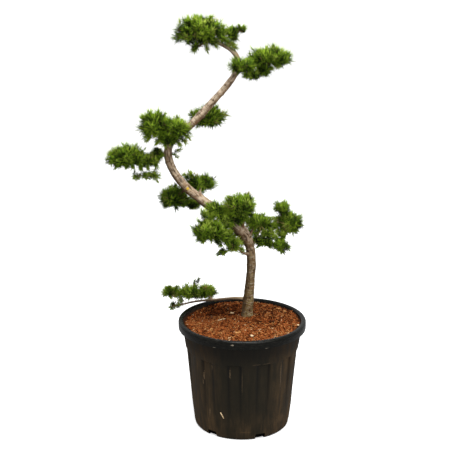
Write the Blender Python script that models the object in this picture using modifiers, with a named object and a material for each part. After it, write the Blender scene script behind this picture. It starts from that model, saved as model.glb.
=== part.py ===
"""A cloud-pruned larch in a ribbed nursery container.

The trunk snakes up out of bark compost. Short boughs leave it at its bends, and each one
ends in a clipped cloud of needle tufts on short twigs.

Frame: metres, +Z up, -Y the front, and the origin in the middle of the pot's flat underside.
"""

import math
import random

import bmesh
import bpy
from mathutils import Matrix, Vector

GAP = 0.0004  # air between two neighbouring solids
WELD = 0.00002

# ---- the container -------------------------------------------------------------------
POT_HEIGHT = 0.395
RIM_RADIUS = 0.229
RIM_INSIDE_RADIUS = 0.2105
RIM_SKIRT_HEIGHT = 0.029
SHOULDER_TOP_RADIUS = 0.2135
SHOULDER_FOOT = (0.2035, 0.299)  # (radius, height) where the plain band under the rim ends
RIB_TOP = (0.1998, 0.291)
RIB_MIDDLE = (0.1962, 0.250)
PANEL_END = (0.1810, 0.084)  # the sunk panels run out into the wall here
FOOT_RADIUS = 0.1726
FOOT_ROUNDING = 0.013
BASE_RADIUS = 0.163
WALL = 0.0035
FLOOR = 0.004
PANELS = 12
PANEL_DEPTH = 0.006
FIRST_PANEL_ANGLE = math.radians(21.5)
POT_STEPS = 72
DRAINS = 6
FIRST_DRAIN_ANGLE = math.radians(51.5)
DRAIN_WIDTH = 0.038
DRAIN_HEIGHT = 0.014

# ---- the compost ---------------------------------------------------------------------
COMPOST_STEPS = 36
COMPOST_TOP = 0.3879  # its height at the trunk's foot
COMPOST_RINGS = (0.055, 0.11, 0.16)
HOLLOW = (-0.15, 0.06, 0.018)  # (x, y, depth) where it has sunk, under the low bough
MOUND = (0.13, 0.06, 0.004)  # (x, y, height) where it is heaped
RIPPLE = 0.005

# ---- the trunk: (x, y, z, radius) along its middle -------------------------------------
TRUNK_LINE = (
    (0.018, 0.050, 0.3880, 0.0216),
    (0.027, 0.038, 0.5000, 0.0176),
    (0.032, 0.012, 0.6180, 0.0163),
    (0.015, -0.010, 0.7000, 0.0165),
    (-0.023, -0.022, 0.7490, 0.0184),
    (-0.112, -0.016, 0.8150, 0.0168),
    (-0.191, -0.004, 0.8760, 0.0154),
    (-0.243, 0.007, 0.9420, 0.0145),
    (-0.257, 0.012, 1.0010, 0.0138),
    (-0.238, 0.011, 1.0550, 0.0137),
    (-0.181, 0.004, 1.0940, 0.0132),
    (-0.094, -0.007, 1.1880, 0.0123),
    (-0.032, -0.012, 1.2640, 0.0110),
    (-0.018, -0.012, 1.3120, 0.0098),
    (-0.039, -0.009, 1.3510, 0.0082),
    (-0.108, -0.004, 1.3880, 0.0055),
)
# The trunk is cut at its bends into sections, each from one point of the line to another.
TRUNK_SECTIONS = {
    "trunk_foot": (0, 3),
    "trunk_low_bend": (3, 5),
    "trunk_middle": (5, 7),
    "trunk_high_bend": (7, 10),
    "trunk_upper": (10, 12),
    "trunk_leader": (12, 15),
}
ROOT_FLARE = 0.0045
ROOT_FLARE_HEIGHT = 0.030
TRUNK_RINGS_APART = 0.026
TRUNK_ROUNDNESS = 4  # a bevel resolution of 4 gives 12 sides

# ---- the boughs: limb they leave, radius at root and tip, and the middle line ---------------
BOUGHS = {
    "bough_low": ("trunk_foot", 0.0068, 0.0030, (
        (0.022, 0.044, 0.452), (-0.021, 0.058, 0.452), (-0.095, 0.107, 0.428),
        (-0.170, 0.158, 0.4030), (-0.225, 0.176, 0.3840))),
    "bough_low_right": ("bough_low", 0.0036, 0.0026, (
        (-0.105, 0.114, 0.425), (-0.118, 0.130, 0.431), (-0.128, 0.144, 0.437))),
    "bough_front_sprig": ("trunk_foot", 0.0062, 0.0034, (
        (0.031, 0.006, 0.634), (0.006, -0.022, 0.646), (-0.010, -0.036, 0.662))),
    "bough_right_long": ("trunk_foot", 0.0075, 0.0042, (
        (0.029, 0.008, 0.642), (0.052, 0.026, 0.706), (0.092, 0.040, 0.731),
        (0.126, 0.038, 0.740))),
    "bough_right_low": ("bough_right_long", 0.0036, 0.0026, (
        (0.094, 0.040, 0.732), (0.110, 0.026, 0.706), (0.120, 0.016, 0.688))),
    "bough_right_under": ("bough_right_long", 0.0036, 0.0026, (
        (0.042, 0.019, 0.683), (0.051, 0.018, 0.682), (0.060, 0.018, 0.680))),
    "bough_right_inner": ("trunk_foot", 0.0062, 0.0040, (
        (0.019, -0.006, 0.686), (0.036, 0.008, 0.724), (0.042, 0.018, 0.738))),
    "bough_front_top": ("trunk_low_bend", 0.0080, 0.0048, (
        (-0.004, -0.017, 0.728), (0.001, -0.044, 0.772), (-0.004, -0.052, 0.796))),
    "bough_front_low": ("trunk_low_bend", 0.0070, 0.0042, (
        (-0.045, -0.022, 0.768), (-0.062, -0.046, 0.757), (-0.076, -0.060, 0.748))),
    "bough_back_left": ("trunk_middle", 0.0072, 0.0042, (
        (-0.186, -0.005, 0.871), (-0.206, 0.030, 0.860), (-0.222, 0.052, 0.842))),
    "bough_back_right": ("trunk_middle", 0.0068, 0.0042, (
        (-0.150, -0.010, 0.844), (-0.148, 0.026, 0.856), (-0.147, 0.056, 0.865))),
    "bough_far_left": ("trunk_high_bend", 0.0070, 0.0040, (
        (-0.257, 0.012, 0.998), (-0.286, 0.010, 0.990), (-0.312, 0.004, 0.980))),
    "bough_far_sprig": ("bough_far_left", 0.0030, 0.0022, (
        (-0.284, 0.010, 0.9905), (-0.297, 0.002, 0.955), (-0.311, -0.004, 0.928))),
    "bough_bend_left": ("trunk_high_bend", 0.0078, 0.0050, (
        (-0.250, 0.012, 1.035), (-0.270, 0.000, 1.064), (-0.282, -0.010, 1.080))),
    "bough_upper_back": ("trunk_upper", 0.0062, 0.0042, (
        (-0.145, -0.001, 1.133), (-0.136, 0.030, 1.120), (-0.129, 0.056, 1.112))),
    "bough_upper_right": ("trunk_leader", 0.0062, 0.0038, (
        (-0.027, -0.012, 1.284), (0.014, -0.012, 1.285), (0.052, -0.015, 1.308))),
}
BOUGH_ROUNDNESS = 1  # 6 sides
BOUGH_RINGS_APART = 0.018

# ---- the masses: the limb whose tip carries each, and its lobes as (centre, half sizes) -----
MASSES = {
    "pad_crown": ("trunk_leader", (
        ((-0.143, -0.005, 1.411), (0.096, 0.081, 0.064)),
        ((-0.152, -0.014, 1.372), (0.046, 0.042, 0.035)),
        ((-0.074, 0.000, 1.400), (0.037, 0.037, 0.036)),
        ((-0.038, 0.002, 1.404), (0.037, 0.036, 0.035)),
        ((-0.012, 0.002, 1.417), (0.022, 0.019, 0.014)))),
    "pad_upper": ("bough_upper_right", (
        ((0.090, -0.020, 1.327), (0.085, 0.066, 0.045)),
        ((0.066, -0.012, 1.284), (0.031, 0.029, 0.031)),
        ((0.026, -0.034, 1.272), (0.040, 0.029, 0.024)),
        ((0.000, -0.044, 1.304), (0.057, 0.040, 0.032)))),
    "pad_upper_back": ("bough_upper_back", (
        ((-0.121, 0.078, 1.109), (0.072, 0.066, 0.048)),)),
    "pad_bend": ("bough_bend_left", (
        ((-0.297, -0.020, 1.099), (0.068, 0.064, 0.058)),
        ((-0.218, -0.036, 1.092), (0.051, 0.044, 0.046)),
        ((-0.257, -0.028, 1.054), (0.046, 0.035, 0.030)))),
    "pad_far": ("bough_far_left", (
        ((-0.398, 0.000, 0.986), (0.083, 0.070, 0.047)),
        ((-0.322, 0.002, 0.975), (0.049, 0.042, 0.032)),
        ((-0.290, -0.014, 1.000), (0.027, 0.024, 0.023)))),
    "pad_far_sprig": ("bough_far_sprig", (
        ((-0.334, -0.006, 0.922), (0.055, 0.029, 0.021)),)),
    "pad_back_left": ("bough_back_left", (
        ((-0.242, 0.076, 0.820), (0.062, 0.059, 0.055)),
        ((-0.176, 0.070, 0.798), (0.033, 0.031, 0.024)))),
    "pad_back_right": ("bough_back_right", (
        ((-0.148, 0.090, 0.872), (0.067, 0.057, 0.037)),)),
    "pad_front_top": ("bough_front_top", (
        ((-0.010, -0.060, 0.826), (0.068, 0.059, 0.054)),
        ((-0.055, -0.062, 0.782), (0.048, 0.037, 0.036)),
        ((-0.088, -0.056, 0.809), (0.050, 0.044, 0.037)),
        ((-0.017, -0.060, 0.780), (0.034, 0.026, 0.027)))),
    "pad_front_low": ("bough_front_low", (
        ((-0.112, -0.078, 0.742), (0.072, 0.062, 0.054)),
        ((-0.060, -0.072, 0.716), (0.035, 0.033, 0.032)))),
    "pad_front_sprig": ("bough_front_sprig", (
        ((-0.028, -0.052, 0.684), (0.037, 0.033, 0.032)),
        ((-0.070, -0.056, 0.660), (0.022, 0.018, 0.017)))),
    "pad_right_inner": ("bough_right_inner", (
        ((0.060, 0.030, 0.742), (0.055, 0.052, 0.037)),
        ((0.084, 0.020, 0.708), (0.028, 0.028, 0.022)))),
    "pad_right_under": ("bough_right_under", (
        ((0.078, 0.018, 0.676), (0.044, 0.034, 0.022)),)),
    "pad_right_outer": ("bough_right_long", (
        ((0.166, 0.036, 0.740), (0.057, 0.057, 0.054)),
        ((0.140, 0.034, 0.795), (0.036, 0.035, 0.032)),
        ((0.143, 0.030, 0.702), (0.028, 0.026, 0.022)),
        ((0.116, 0.036, 0.731), (0.022, 0.022, 0.020)))),
    "pad_right_low": ("bough_right_low", (
        ((0.133, 0.008, 0.667), (0.036, 0.035, 0.034)),)),
    "pad_low": ("bough_low_right", (
        ((-0.129, 0.163, 0.441), (0.045, 0.042, 0.036)),
        ((-0.191, 0.170, 0.432), (0.053, 0.044, 0.034)),
        ((-0.258, 0.176, 0.432), (0.048, 0.037, 0.025)),
        ((-0.165, 0.170, 0.478), (0.022, 0.020, 0.020)))),
    "pad_low_tip": ("bough_low", (
        ((-0.251, 0.181, 0.379), (0.031, 0.024, 0.015)),)),
}
CORE_INSET = 0.022  # how far a mass's core lies inside its outline
CLOSE_NEEDLES = 0.018  # the needles that stand on the core
CORE_FACE_AREA = 0.00041  # each face of a core carries one of them
LEAST_CORE_POINTS = 9
TUFT_INSET = 0.017  # where a tuft sits, inside the outline
TUFT_LENGTH = 0.023
TUFTS_APART = 0.086
LEAST_TUFTS = 2
TUFT_ROOM = 0.022  # the core's own needles keep this far from a tuft's seat
TUFT_BODY = 0.30  # a tuft's slim core beside its length
SMALL_LOBE_SHARE = 0.60  # needles are no longer than this share of a lobe's least half size
UNEVEN = 0.25  # how much needles differ in length
SPACE_MARGIN = 0.03  # how much nearer its own mass than the next each needle stays, as a share
LIMB_CLEARANCE = 0.0015
LOWEST_TUFT = -0.80  # a clipped cloud is flatter below: no tuft points down past this
SEED = 11


# ---- helpers ---------------------------------------------------------------------------
def clear_scene():
    for obj in list(bpy.data.objects):
        bpy.data.objects.remove(obj)


def new_collection(name, parent):
    found = bpy.data.collections.new(name)
    parent.children.link(found)
    return found


def plain_material(name, colour, roughness):
    material = bpy.data.materials.new(name)
    material.use_nodes = True
    shader = material.node_tree.nodes["Principled BSDF"]
    shader.inputs["Base Color"].default_value = (*colour, 1.0)
    shader.inputs["Roughness"].default_value = roughness
    shader.inputs["Metallic"].default_value = 0.0
    return material


def mesh_object(name, mesh, collection):
    obj = bpy.data.objects.new(name, mesh)
    collection.objects.link(obj)
    return obj


def finish_mesh(bm, name, collection):
    bmesh.ops.recalc_face_normals(bm, faces=bm.faces)
    mesh = bpy.data.meshes.new(name)
    bm.to_mesh(mesh)
    bm.free()
    return mesh_object(name, mesh, collection)


def mesh_of(obj):
    graph = bpy.context.evaluated_depsgraph_get()
    return bpy.data.meshes.new_from_object(obj.evaluated_get(graph))


def baked(obj, weld=WELD):
    """Swap an object for a plain mesh of what its curve or modifiers make."""
    mesh = mesh_of(obj)
    name, collection, world = obj.name, obj.users_collection[0], obj.matrix_world.copy()
    bpy.data.objects.remove(obj)
    if weld:
        bm = bmesh.new()
        bm.from_mesh(mesh)
        bmesh.ops.remove_doubles(bm, verts=bm.verts, dist=weld)
        bm.to_mesh(mesh)
        bm.free()
    solid = mesh_object(name, mesh, collection)
    solid.matrix_world = world
    return solid


def boolean(obj, operation, operand):
    modifier = obj.modifiers.new(operation.lower(), "BOOLEAN")
    modifier.operation = operation
    modifier.solver = "EXACT"
    if isinstance(operand, bpy.types.Collection):
        modifier.operand_type = "COLLECTION"
        modifier.collection = operand
    else:
        modifier.object = operand
    return modifier


def closed(mesh):
    bm = bmesh.new()
    bm.from_mesh(mesh)
    whole = len(bm.faces) > 0 and all(len(edge.link_faces) == 2 for edge in bm.edges)
    bm.free()
    return whole


def joined(obj, pieces):
    """One closed solid from an object and a collection of pieces, by whichever solver makes it."""
    for solver in ("EXACT", "MANIFOLD"):
        union = boolean(obj, "UNION", pieces)
        union.solver = solver
        bpy.context.view_layer.update()
        if closed(mesh_of(obj)):
            return baked(obj, weld=0)
        obj.modifiers.remove(union)
    raise ValueError(f"{obj.name} could not be joined")


def smooth_shading(obj):
    obj.data.shade_smooth()
    obj.data.set_sharp_from_angle(angle=math.radians(35))


# ---- lines and limbs -------------------------------------------------------------------
def on_spline(points, t):
    """The Catmull-Rom spline through points, at t counted in points from the first one."""
    last = len(points) - 1
    i = min(int(t), last - 1)
    s = t - i
    p1, p2 = points[i], points[i + 1]
    p0 = points[i - 1] if i else [2 * a - b for a, b in zip(p1, p2)]
    p3 = points[i + 2] if i + 2 <= last else [2 * b - a for a, b in zip(p1, p2)]
    return [
        0.5 * (2 * b + (c - a) * s + (2 * a - 5 * b + 4 * c - d) * s**2
               + (3 * b - a - 3 * c + d) * s**3)
        for a, b, c, d in zip(p0, p1, p2, p3)
    ]


def limb_line(points, start, end, apart):
    """Samples (position, radius) of a limb's line, from one of its points to another."""
    dense = [on_spline(points, start + (end - start) * k / 200) for k in range(201)]
    length = sum(math.dist(a[:3], b[:3]) for a, b in zip(dense, dense[1:]))
    count = max(2, round(length / apart))
    picked = [on_spline(points, start + (end - start) * k / count) for k in range(count + 1)]
    return [(Vector(p[:3]), p[3]) for p in picked]


def direction_at(points, t):
    ahead, behind = on_spline(points, min(t + 0.01, len(points) - 1)), on_spline(points, max(t - 0.01, 0))
    return (Vector(ahead[:3]) - Vector(behind[:3])).normalized()


def tube(name, line, roundness, collection):
    """A capped tube along (position, radius) samples, as a mesh."""
    curve = bpy.data.curves.new(name, "CURVE")
    curve.dimensions = "3D"
    curve.bevel_depth = 1.0  # each point's own radius is then the limb's radius in metres
    curve.bevel_resolution = roundness
    curve.use_fill_caps = True
    spline = curve.splines.new("POLY")
    spline.points.add(len(line) - 1)
    for point, (position, radius) in zip(spline.points, line):
        point.co = (*position, 1.0)
        point.radius = radius
    obj = bpy.data.objects.new(name, curve)
    collection.objects.link(obj)
    bpy.context.view_layer.update()
    return baked(obj)


def grown(line, amount):
    """The same line made thicker and longer all round, for cutting a limb's neighbours clear of it."""
    first = (line[0][0] - line[1][0]).normalized() * amount
    last = (line[-1][0] - line[-2][0]).normalized() * amount
    ends = {0: first, len(line) - 1: last}
    return [(p + ends.get(k, Vector()), r + amount) for k, (p, r) in enumerate(line)]


def roundness_of(limb):
    return TRUNK_ROUNDNESS if limb.startswith("trunk") else BOUGH_ROUNDNESS


def cutting_tube(name, limb, line, cutters):
    """A slightly thicker copy of a limb, hidden, that cuts its neighbours clear of it."""
    cutter = tube(name, grown(line, GAP), roundness_of(limb), cutters)
    cutter.hide_render = True
    cutter.display_type = "WIRE"
    return cutter


def square_ended(line, head, tail):
    """Trim half a gap off both ends and add a ring close to each, so that a cut is square to it."""
    lead = 0.003
    (start, r0), (end, r1) = line[0], line[-1]
    return [
        (start + head * GAP / 2, r0), (start + head * lead, r0), *line[1:-1],
        (end - tail * lead, r1), (end - tail * GAP / 2, r1),
    ]


def trunk_line(start, end):
    line = limb_line(TRUNK_LINE, start, end, TRUNK_RINGS_APART)
    head = Vector((0, 0, 1)) if start == 0 else direction_at(TRUNK_LINE, start)
    line = square_ended(line, head, direction_at(TRUNK_LINE, end))
    foot = TRUNK_LINE[0][2]
    return [
        (p, r + ROOT_FLARE * max(0.0, 1 - (p.z - foot) / ROOT_FLARE_HEIGHT) ** 2)
        for p, r in line
    ]


def bough_line(root, tip, points):
    last = len(points) - 1
    tapered = [(*p, root + (tip - root) * k / last) for k, p in enumerate(points)]
    return limb_line(tapered, 0, last, BOUGH_RINGS_APART)


def distance_to_line(point, line):
    """How far a point lies outside a limb's bark. It is negative inside."""
    nearest = math.inf
    for (a, ra), (b, rb) in zip(line, line[1:]):
        along = b - a
        share = min(1.0, max(0.0, (point - a).dot(along) / along.length_squared))
        nearest = min(nearest, (a + along * share - point).length - (ra + (rb - ra) * share))
    return nearest


# ---- pot and compost -------------------------------------------------------------------
def turned(name, profile, steps, collection):
    """A solid turned about the Z axis, from a profile that ends on the axis at both ends."""
    mesh = bpy.data.meshes.new(name)
    turn = Matrix.Rotation(FIRST_PANEL_ANGLE, 4, "Z")
    points = [turn @ Vector((radius, 0, height)) for radius, height in profile]
    mesh.from_pydata(points, [(k, k + 1) for k in range(len(points) - 1)], [])
    obj = mesh_object(name, mesh, collection)
    screw = obj.modifiers.new("turn", "SCREW")
    screw.steps = screw.render_steps = steps
    screw.use_merge_vertices = True
    screw.merge_threshold = WELD
    bpy.context.view_layer.update()
    return baked(obj)


def wall_profile(inset):
    """The wall's line from the rim's top down, set in by the wall, and behind the panels too."""
    def behind(corner, extra):
        return (corner[0] - WALL - extra - inset, corner[1])
    return [
        (RIM_INSIDE_RADIUS - inset, POT_HEIGHT),
        behind(SHOULDER_FOOT, 0.0),
        behind((RIB_TOP[0], RIB_TOP[1] - WALL), PANEL_DEPTH),
        behind(PANEL_END, 0.0),
        (BASE_RADIUS - 0.0015 - inset, FLOOR + inset),
    ]


def sink_panels(mesh):
    """Push the outer wall in between the ribs, most at the top and less down to nothing."""
    top, foot = RIB_TOP[1], PANEL_END[1]
    pitch = math.tau / PANELS
    for vertex in mesh.vertices:
        x, y, z = vertex.co
        radius = math.hypot(x, y)
        if not foot - WELD < z < top + WELD or radius < RIB_MIDDLE[0] - 0.02:
            continue
        if radius < behind_wall(z) + WALL / 2:
            continue
        turn = (math.atan2(y, x) - FIRST_PANEL_ANGLE) % pitch
        off_centre = min(turn, pitch - turn)
        if off_centre > pitch * 0.18:
            continue
        depth = PANEL_DEPTH * (z - foot) / (top - foot)
        vertex.co = (x * (radius - depth) / radius, y * (radius - depth) / radius, z)


def behind_wall(height):
    """The inner wall's radius at a height."""
    line = wall_profile(0.0)
    for (r1, z1), (r0, z0) in zip(line, line[1:]):
        if z0 <= height <= z1:
            return r0 + (r1 - r0) * (height - z0) / (z1 - z0)
    return line[-1][0]


def drain_cutter(index, cutters):
    """A block through the wall's lower edge, where water runs out."""
    angle = FIRST_DRAIN_ANGLE + index * math.tau / DRAINS
    bm = bmesh.new()
    bmesh.ops.create_cube(bm, size=1.0)
    reach = 0.040
    size = Matrix.Diagonal((reach, DRAIN_WIDTH, 2 * DRAIN_HEIGHT, 1))
    place = Matrix.Rotation(angle, 4, "Z") @ Matrix.Translation((FOOT_RADIUS, 0, 0))
    bmesh.ops.transform(bm, matrix=place @ size, verts=bm.verts)
    cutter = finish_mesh(bm, f"drain_{index + 1}", cutters)
    cutter.hide_render = True
    cutter.display_type = "WIRE"
    return cutter


def make_pot(tree, cutters, material):
    inside = [(0, FLOOR)] + wall_profile(0.0)[::-1]
    skirt = POT_HEIGHT - RIM_SKIRT_HEIGHT
    outside = [
        (RIM_RADIUS - 0.004, POT_HEIGHT), (RIM_RADIUS, POT_HEIGHT - 0.006),
        (RIM_RADIUS - 0.0005, skirt), (SHOULDER_TOP_RADIUS, skirt - 0.003),
        SHOULDER_FOOT, RIB_TOP, RIB_MIDDLE, PANEL_END,
        (FOOT_RADIUS, FOOT_ROUNDING), (BASE_RADIUS, 0), (0, 0),
    ]
    pot = turned("pot", inside + outside, POT_STEPS, tree)
    sink_panels(pot.data)
    pot.data.materials.append(material)
    for index in range(DRAINS):
        boolean(pot, "DIFFERENCE", drain_cutter(index, cutters))
    smooth_shading(pot)
    return pot


def compost_height(x, y):
    """The top of the compost: uneven, sunk in one place, heaped in another, flat at the trunk."""
    def swell(place, spread):
        return math.exp(-((x - place[0]) ** 2 + (y - place[1]) ** 2) / spread**2)
    ripple = RIPPLE * (0.5 + 0.5 * math.sin(31 * x + 1.3) * math.cos(27 * y))
    shift = MOUND[2] * swell(MOUND, 0.06) - HOLLOW[2] * swell(HOLLOW, 0.07) - ripple
    from_trunk = math.hypot(x - TRUNK_LINE[0][0], y - TRUNK_LINE[0][1])
    return COMPOST_TOP + shift * min(1.0, max(0.0, from_trunk / 0.035 - 1))


def make_compost(tree, material):
    line = wall_profile(GAP)
    top_radius = line[0][0] - (line[0][0] - line[1][0]) * (POT_HEIGHT - COMPOST_TOP) / (POT_HEIGHT - line[1][1])
    profile = [(0, COMPOST_TOP)] + [(r, COMPOST_TOP) for r in COMPOST_RINGS]
    profile += [(top_radius - 0.002, COMPOST_TOP)] + line[1:] + [(0, FLOOR + GAP)]
    compost = turned("compost", profile, COMPOST_STEPS, tree)
    for vertex in compost.data.vertices:
        if vertex.co.z > COMPOST_TOP - WELD:
            vertex.co.z = compost_height(vertex.co.x, vertex.co.y)
    compost.data.materials.append(material)
    return compost


# ---- masses ----------------------------------------------------------------------------
def how_far_out(point, lobes):
    """0 at the middle of the nearest lobe, and 1 on its outline."""
    return min(
        math.sqrt(sum(((p - c) / h) ** 2 for p, c, h in zip(point, centre, half)))
        for centre, half in lobes
    )


def aim(start, direction):
    turn = direction.to_track_quat("Z", "Y").to_matrix().to_4x4()
    return Matrix.Translation(start) @ turn


def spike(name, start, end, sides, root, tip, collection):
    """A straight tapering stem."""
    bm = bmesh.new()
    length = (end - start).length
    bmesh.ops.create_cone(bm, cap_ends=True, segments=sides, radius1=root, radius2=tip, depth=length)
    bmesh.ops.translate(bm, verts=bm.verts, vec=(0, 0, length / 2))
    bmesh.ops.transform(bm, matrix=aim(start, end - start), verts=bm.verts)
    return finish_mesh(bm, name, collection)


def tuft_shape():
    """A slim core of eight faces: its corners, the faces that needles stand on, and the twig's."""
    wide, tall = math.sqrt(2 / 3), math.sqrt(1 / 3)
    corners = []
    for first, height in ((0, tall), (math.pi / 3, -tall)):
        for k in range(3):
            angle = first + math.tau * k / 3
            corners.append(Vector((wide * math.cos(angle), wide * math.sin(angle), height)))
    upper, lower = [0, 1, 2], [3, 4, 5]
    spiked, twig = [(0, 1, 2)], []
    for k in range(3):
        n = (k + 1) % 3
        spiked.append((upper[k], lower[k], upper[n]))
        spiked.append((lower[k], lower[n], upper[n]))
        twig.append((lower[n], lower[k], 6))
    return corners, spiked, twig


def tuft_points(seat, heading, spin, length, rng):
    """A tuft's own frame, and where its needles end."""
    frame = aim(seat, heading) @ Matrix.Rotation(spin, 4, "Z")
    corners, spiked, _ = tuft_shape()
    tips = []
    for face in spiked:
        out = sum((corners[k] for k in face), Vector()).normalized() + Vector((0, 0, 0.25))
        tips.append(frame @ (out.normalized() * length * rng.uniform(1 - UNEVEN, 1)))
    return frame, tips


def twig_with_tuft(name, root, frame, length, tips, collection):
    """A three-sided twig that widens into a tuft's slim core, with a needle on each face of it."""
    corners, spiked, twig = tuft_shape()
    bm = bmesh.new()
    verts = [bm.verts.new(frame @ (corner * length * TUFT_BODY)) for corner in corners]
    verts.append(bm.verts.new(root))
    for face, tip in zip(spiked, tips):
        point = bm.verts.new(tip)
        for a, b in zip(face, face[1:] + face[:1]):
            bm.faces.new((verts[a], verts[b], point))
    for face in twig:
        bm.faces.new([verts[k] for k in face])
    return finish_mesh(bm, name, collection)


def fitted(length, lobe):
    return min(length, SMALL_LOBE_SHARE * min(lobe[1]))


def shell_of(lobe, inset):
    return Vector([half - fitted(inset, lobe) for half in lobe[1]])


def area_of(half):
    """An ellipsoid's surface area, near enough."""
    x, y, z = (side**1.6 for side in half)
    return 4 * math.pi * ((x * y + x * z + y * z) / 3) ** (1 / 1.6)


def spread_directions(count, jitter, rng):
    """Directions spread evenly over a sphere by the golden angle, then shaken a little."""
    golden = math.pi * (3 - math.sqrt(5))
    turn = rng.uniform(0, math.tau)
    for k in range(count):
        z = 1 - 2 * (k + 0.5) / count
        flat = math.sqrt(1 - z * z)
        out = Vector((flat * math.cos(turn + k * golden), flat * math.sin(turn + k * golden), z))
        out += Vector([rng.uniform(-jitter, jitter) for _ in range(3)])
        yield out.normalized()


def seats(lobe, rng):
    """Where a lobe's tufts sit: (seat, heading, spin)."""
    centre, half = Vector(lobe[0]), Vector(lobe[1])
    shell = shell_of(lobe, TUFT_INSET)
    count = max(LEAST_TUFTS, round(area_of(half) / TUFTS_APART**2))
    for out in spread_directions(count, 0.14, rng):
        spin = rng.uniform(0, math.tau)
        if out.z < LOWEST_TUFT:
            continue
        seat = centre + Vector([o * s for o, s in zip(out, shell)])
        normal = Vector([o / h for o, h in zip(out, half)]).normalized()
        yield seat, (normal + Vector((0, 0, 0.2))).normalized(), spin


def stays_clear(points, own, others, lines):
    for point in points:
        value = how_far_out(point, own)
        if any(how_far_out(point, lobes) < value + SPACE_MARGIN for lobes in others):
            return False
        if any(distance_to_line(point, line) < LIMB_CLEARANCE for line in lines):
            return False
    return True


def between(start, end, count):
    return [start.lerp(end, (k + 1) / count) for k in range(count)]


def near(line, lobes, reach):
    return any(
        (p - Vector(centre)).length < max(half) + reach for p, _ in line for centre, half in lobes
    )


def keep_largest(obj):
    """Drop loose scraps, and the walls of any hollow that the joining has sealed."""
    bm = bmesh.new()
    bm.from_mesh(obj.data)
    islands, seen = [], set()
    for start in bm.verts:
        if start in seen:
            continue
        found, queue = [], [start]
        seen.add(start)
        while queue:
            vertex = queue.pop()
            found.append(vertex)
            for edge in vertex.link_edges:
                other = edge.other_vert(vertex)
                if other not in seen:
                    seen.add(other)
                    queue.append(other)
        islands.append(found)
    islands.sort(key=len)
    for scrap in islands[:-1]:
        bmesh.ops.delete(bm, geom=scrap, context="VERTS")
    bm.to_mesh(obj.data)
    bm.free()


def make_core(name, lobe, lobes, others, limbs, tufts, rng, collection):
    """A smaller core inside a lobe, and a short needle on each of its faces that has room."""
    centre, half = Vector(lobe[0]), Vector(lobe[1])
    shell = shell_of(lobe, CORE_INSET)
    rest = [other for other in lobes if other != lobe]
    count = max(LEAST_CORE_POINTS, round(area_of(half) / CORE_FACE_AREA / 2) + 2)
    bm = bmesh.new()
    for out in spread_directions(count, 0.05, rng):
        bm.verts.new(out)
    bmesh.ops.convex_hull(bm, input=bm.verts)
    for vertex in bm.verts:
        out = Vector([c * s for c, s in zip(vertex.co, shell)]) * rng.uniform(0.90, 1.0)
        share = 1.0
        while share > 0.35 and not stays_clear([centre + out * share], lobes, others, ()):
            share -= 0.08
        vertex.co = centre + out * share
    bm.normal_update()
    for face in list(bm.faces):
        middle = face.calc_center_median()
        lean = Vector((rng.uniform(-0.3, 0.3), rng.uniform(-0.3, 0.3), rng.uniform(-0.1, 0.5)))
        heading = (face.normal + lean).normalized()
        length = fitted(CLOSE_NEEDLES, lobe) * rng.uniform(1 - UNEVEN, 1.1)
        if any((middle + heading * length - seat).length < TUFT_ROOM for seat in tufts):
            continue
        for share in (1.0, 0.6):
            tip = middle + heading * length * share
            if rest and min(how_far_out(middle, rest), how_far_out(tip, rest)) < 0.95:
                continue
            if stays_clear([middle.lerp(tip, 0.5), tip], lobes, others, limbs):
                corners = list(face.verts)
                point = bm.verts.new(tip)
                for a, b in zip(corners, corners[1:] + corners[:1]):
                    bm.faces.new((a, b, point))
                bm.faces.remove(face)
                break
    return finish_mesh(bm, name, collection)


def grow_tufts(name, lobe, heart, lobes, others, limbs, rng, collection):
    """Each tuft at its full length, or shorter where that crowds a neighbour, or not at all."""
    rest = [other for other in lobes if other != lobe]
    grown_at = []
    for k, (seat, heading, spin) in enumerate(seats(lobe, rng)):
        if rest and how_far_out(seat, rest) < 1.0:
            continue
        root = heart.lerp(seat, 0.4)
        for share in (1.0, 0.75, 0.5):
            length = fitted(TUFT_LENGTH, lobe) * share
            frame, tips = tuft_points(seat, heading, spin, length, rng)
            twig = between(root, seat, 6)
            needles = [p for tip in tips for p in between(seat, tip, 4)]
            if stays_clear(twig + needles, lobes, others, limbs):
                twig_with_tuft(f"{name}_tuft_{k}", root, frame, length, tips, collection)
                grown_at.append(seat)
                break
    return grown_at


def make_mass(name, index, lines, tree, cutters, material):
    """One cloud: a stem from the bough's tip, and twigs out of its core with a tuft on each."""
    carrier, lobes = MASSES[name]
    rng = random.Random(SEED + index)
    others = [m[1] for other, m in MASSES.items() if other != name]
    close = {limb: line for limb, line in lines.items() if near(line, lobes, 0.02)}
    pieces = new_collection(f"{name}_pieces", tree)
    hearts = [Vector(centre) - Vector((0, 0, half[2] * 0.15)) for centre, half in lobes]
    (before, _), (entry, width) = lines[carrier][-2:]
    inward = (entry - before).normalized()
    mass = spike(name, entry - inward * 0.001, hearts[0], 5, width * 0.95, width * 0.6, tree)
    for number, (lobe, heart) in enumerate(zip(lobes, hearts)):
        if number:
            spike(f"{name}_stem_{number}", hearts[number - 1], heart, 4, width * 0.6, width * 0.5, pieces)
        limbs = close.values()
        tufts = grow_tufts(f"{name}_{number}", lobe, heart, lobes, others, limbs, rng, pieces)
        make_core(f"{name}_core_{number}", lobe, lobes, others, limbs, tufts, rng, pieces)
    mass = joined(mass, pieces)
    for piece in list(pieces.objects):
        bpy.data.objects.remove(piece)
    bpy.data.collections.remove(pieces)
    for limb, line in close.items():
        boolean(mass, "DIFFERENCE", cutting_tube(f"{name}_clear_{limb}", limb, line, cutters))
    bpy.context.view_layer.update()
    mass = baked(mass, weld=0)
    keep_largest(mass)
    mass.data.materials.clear()
    mass.data.materials.append(material)
    return mass


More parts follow.
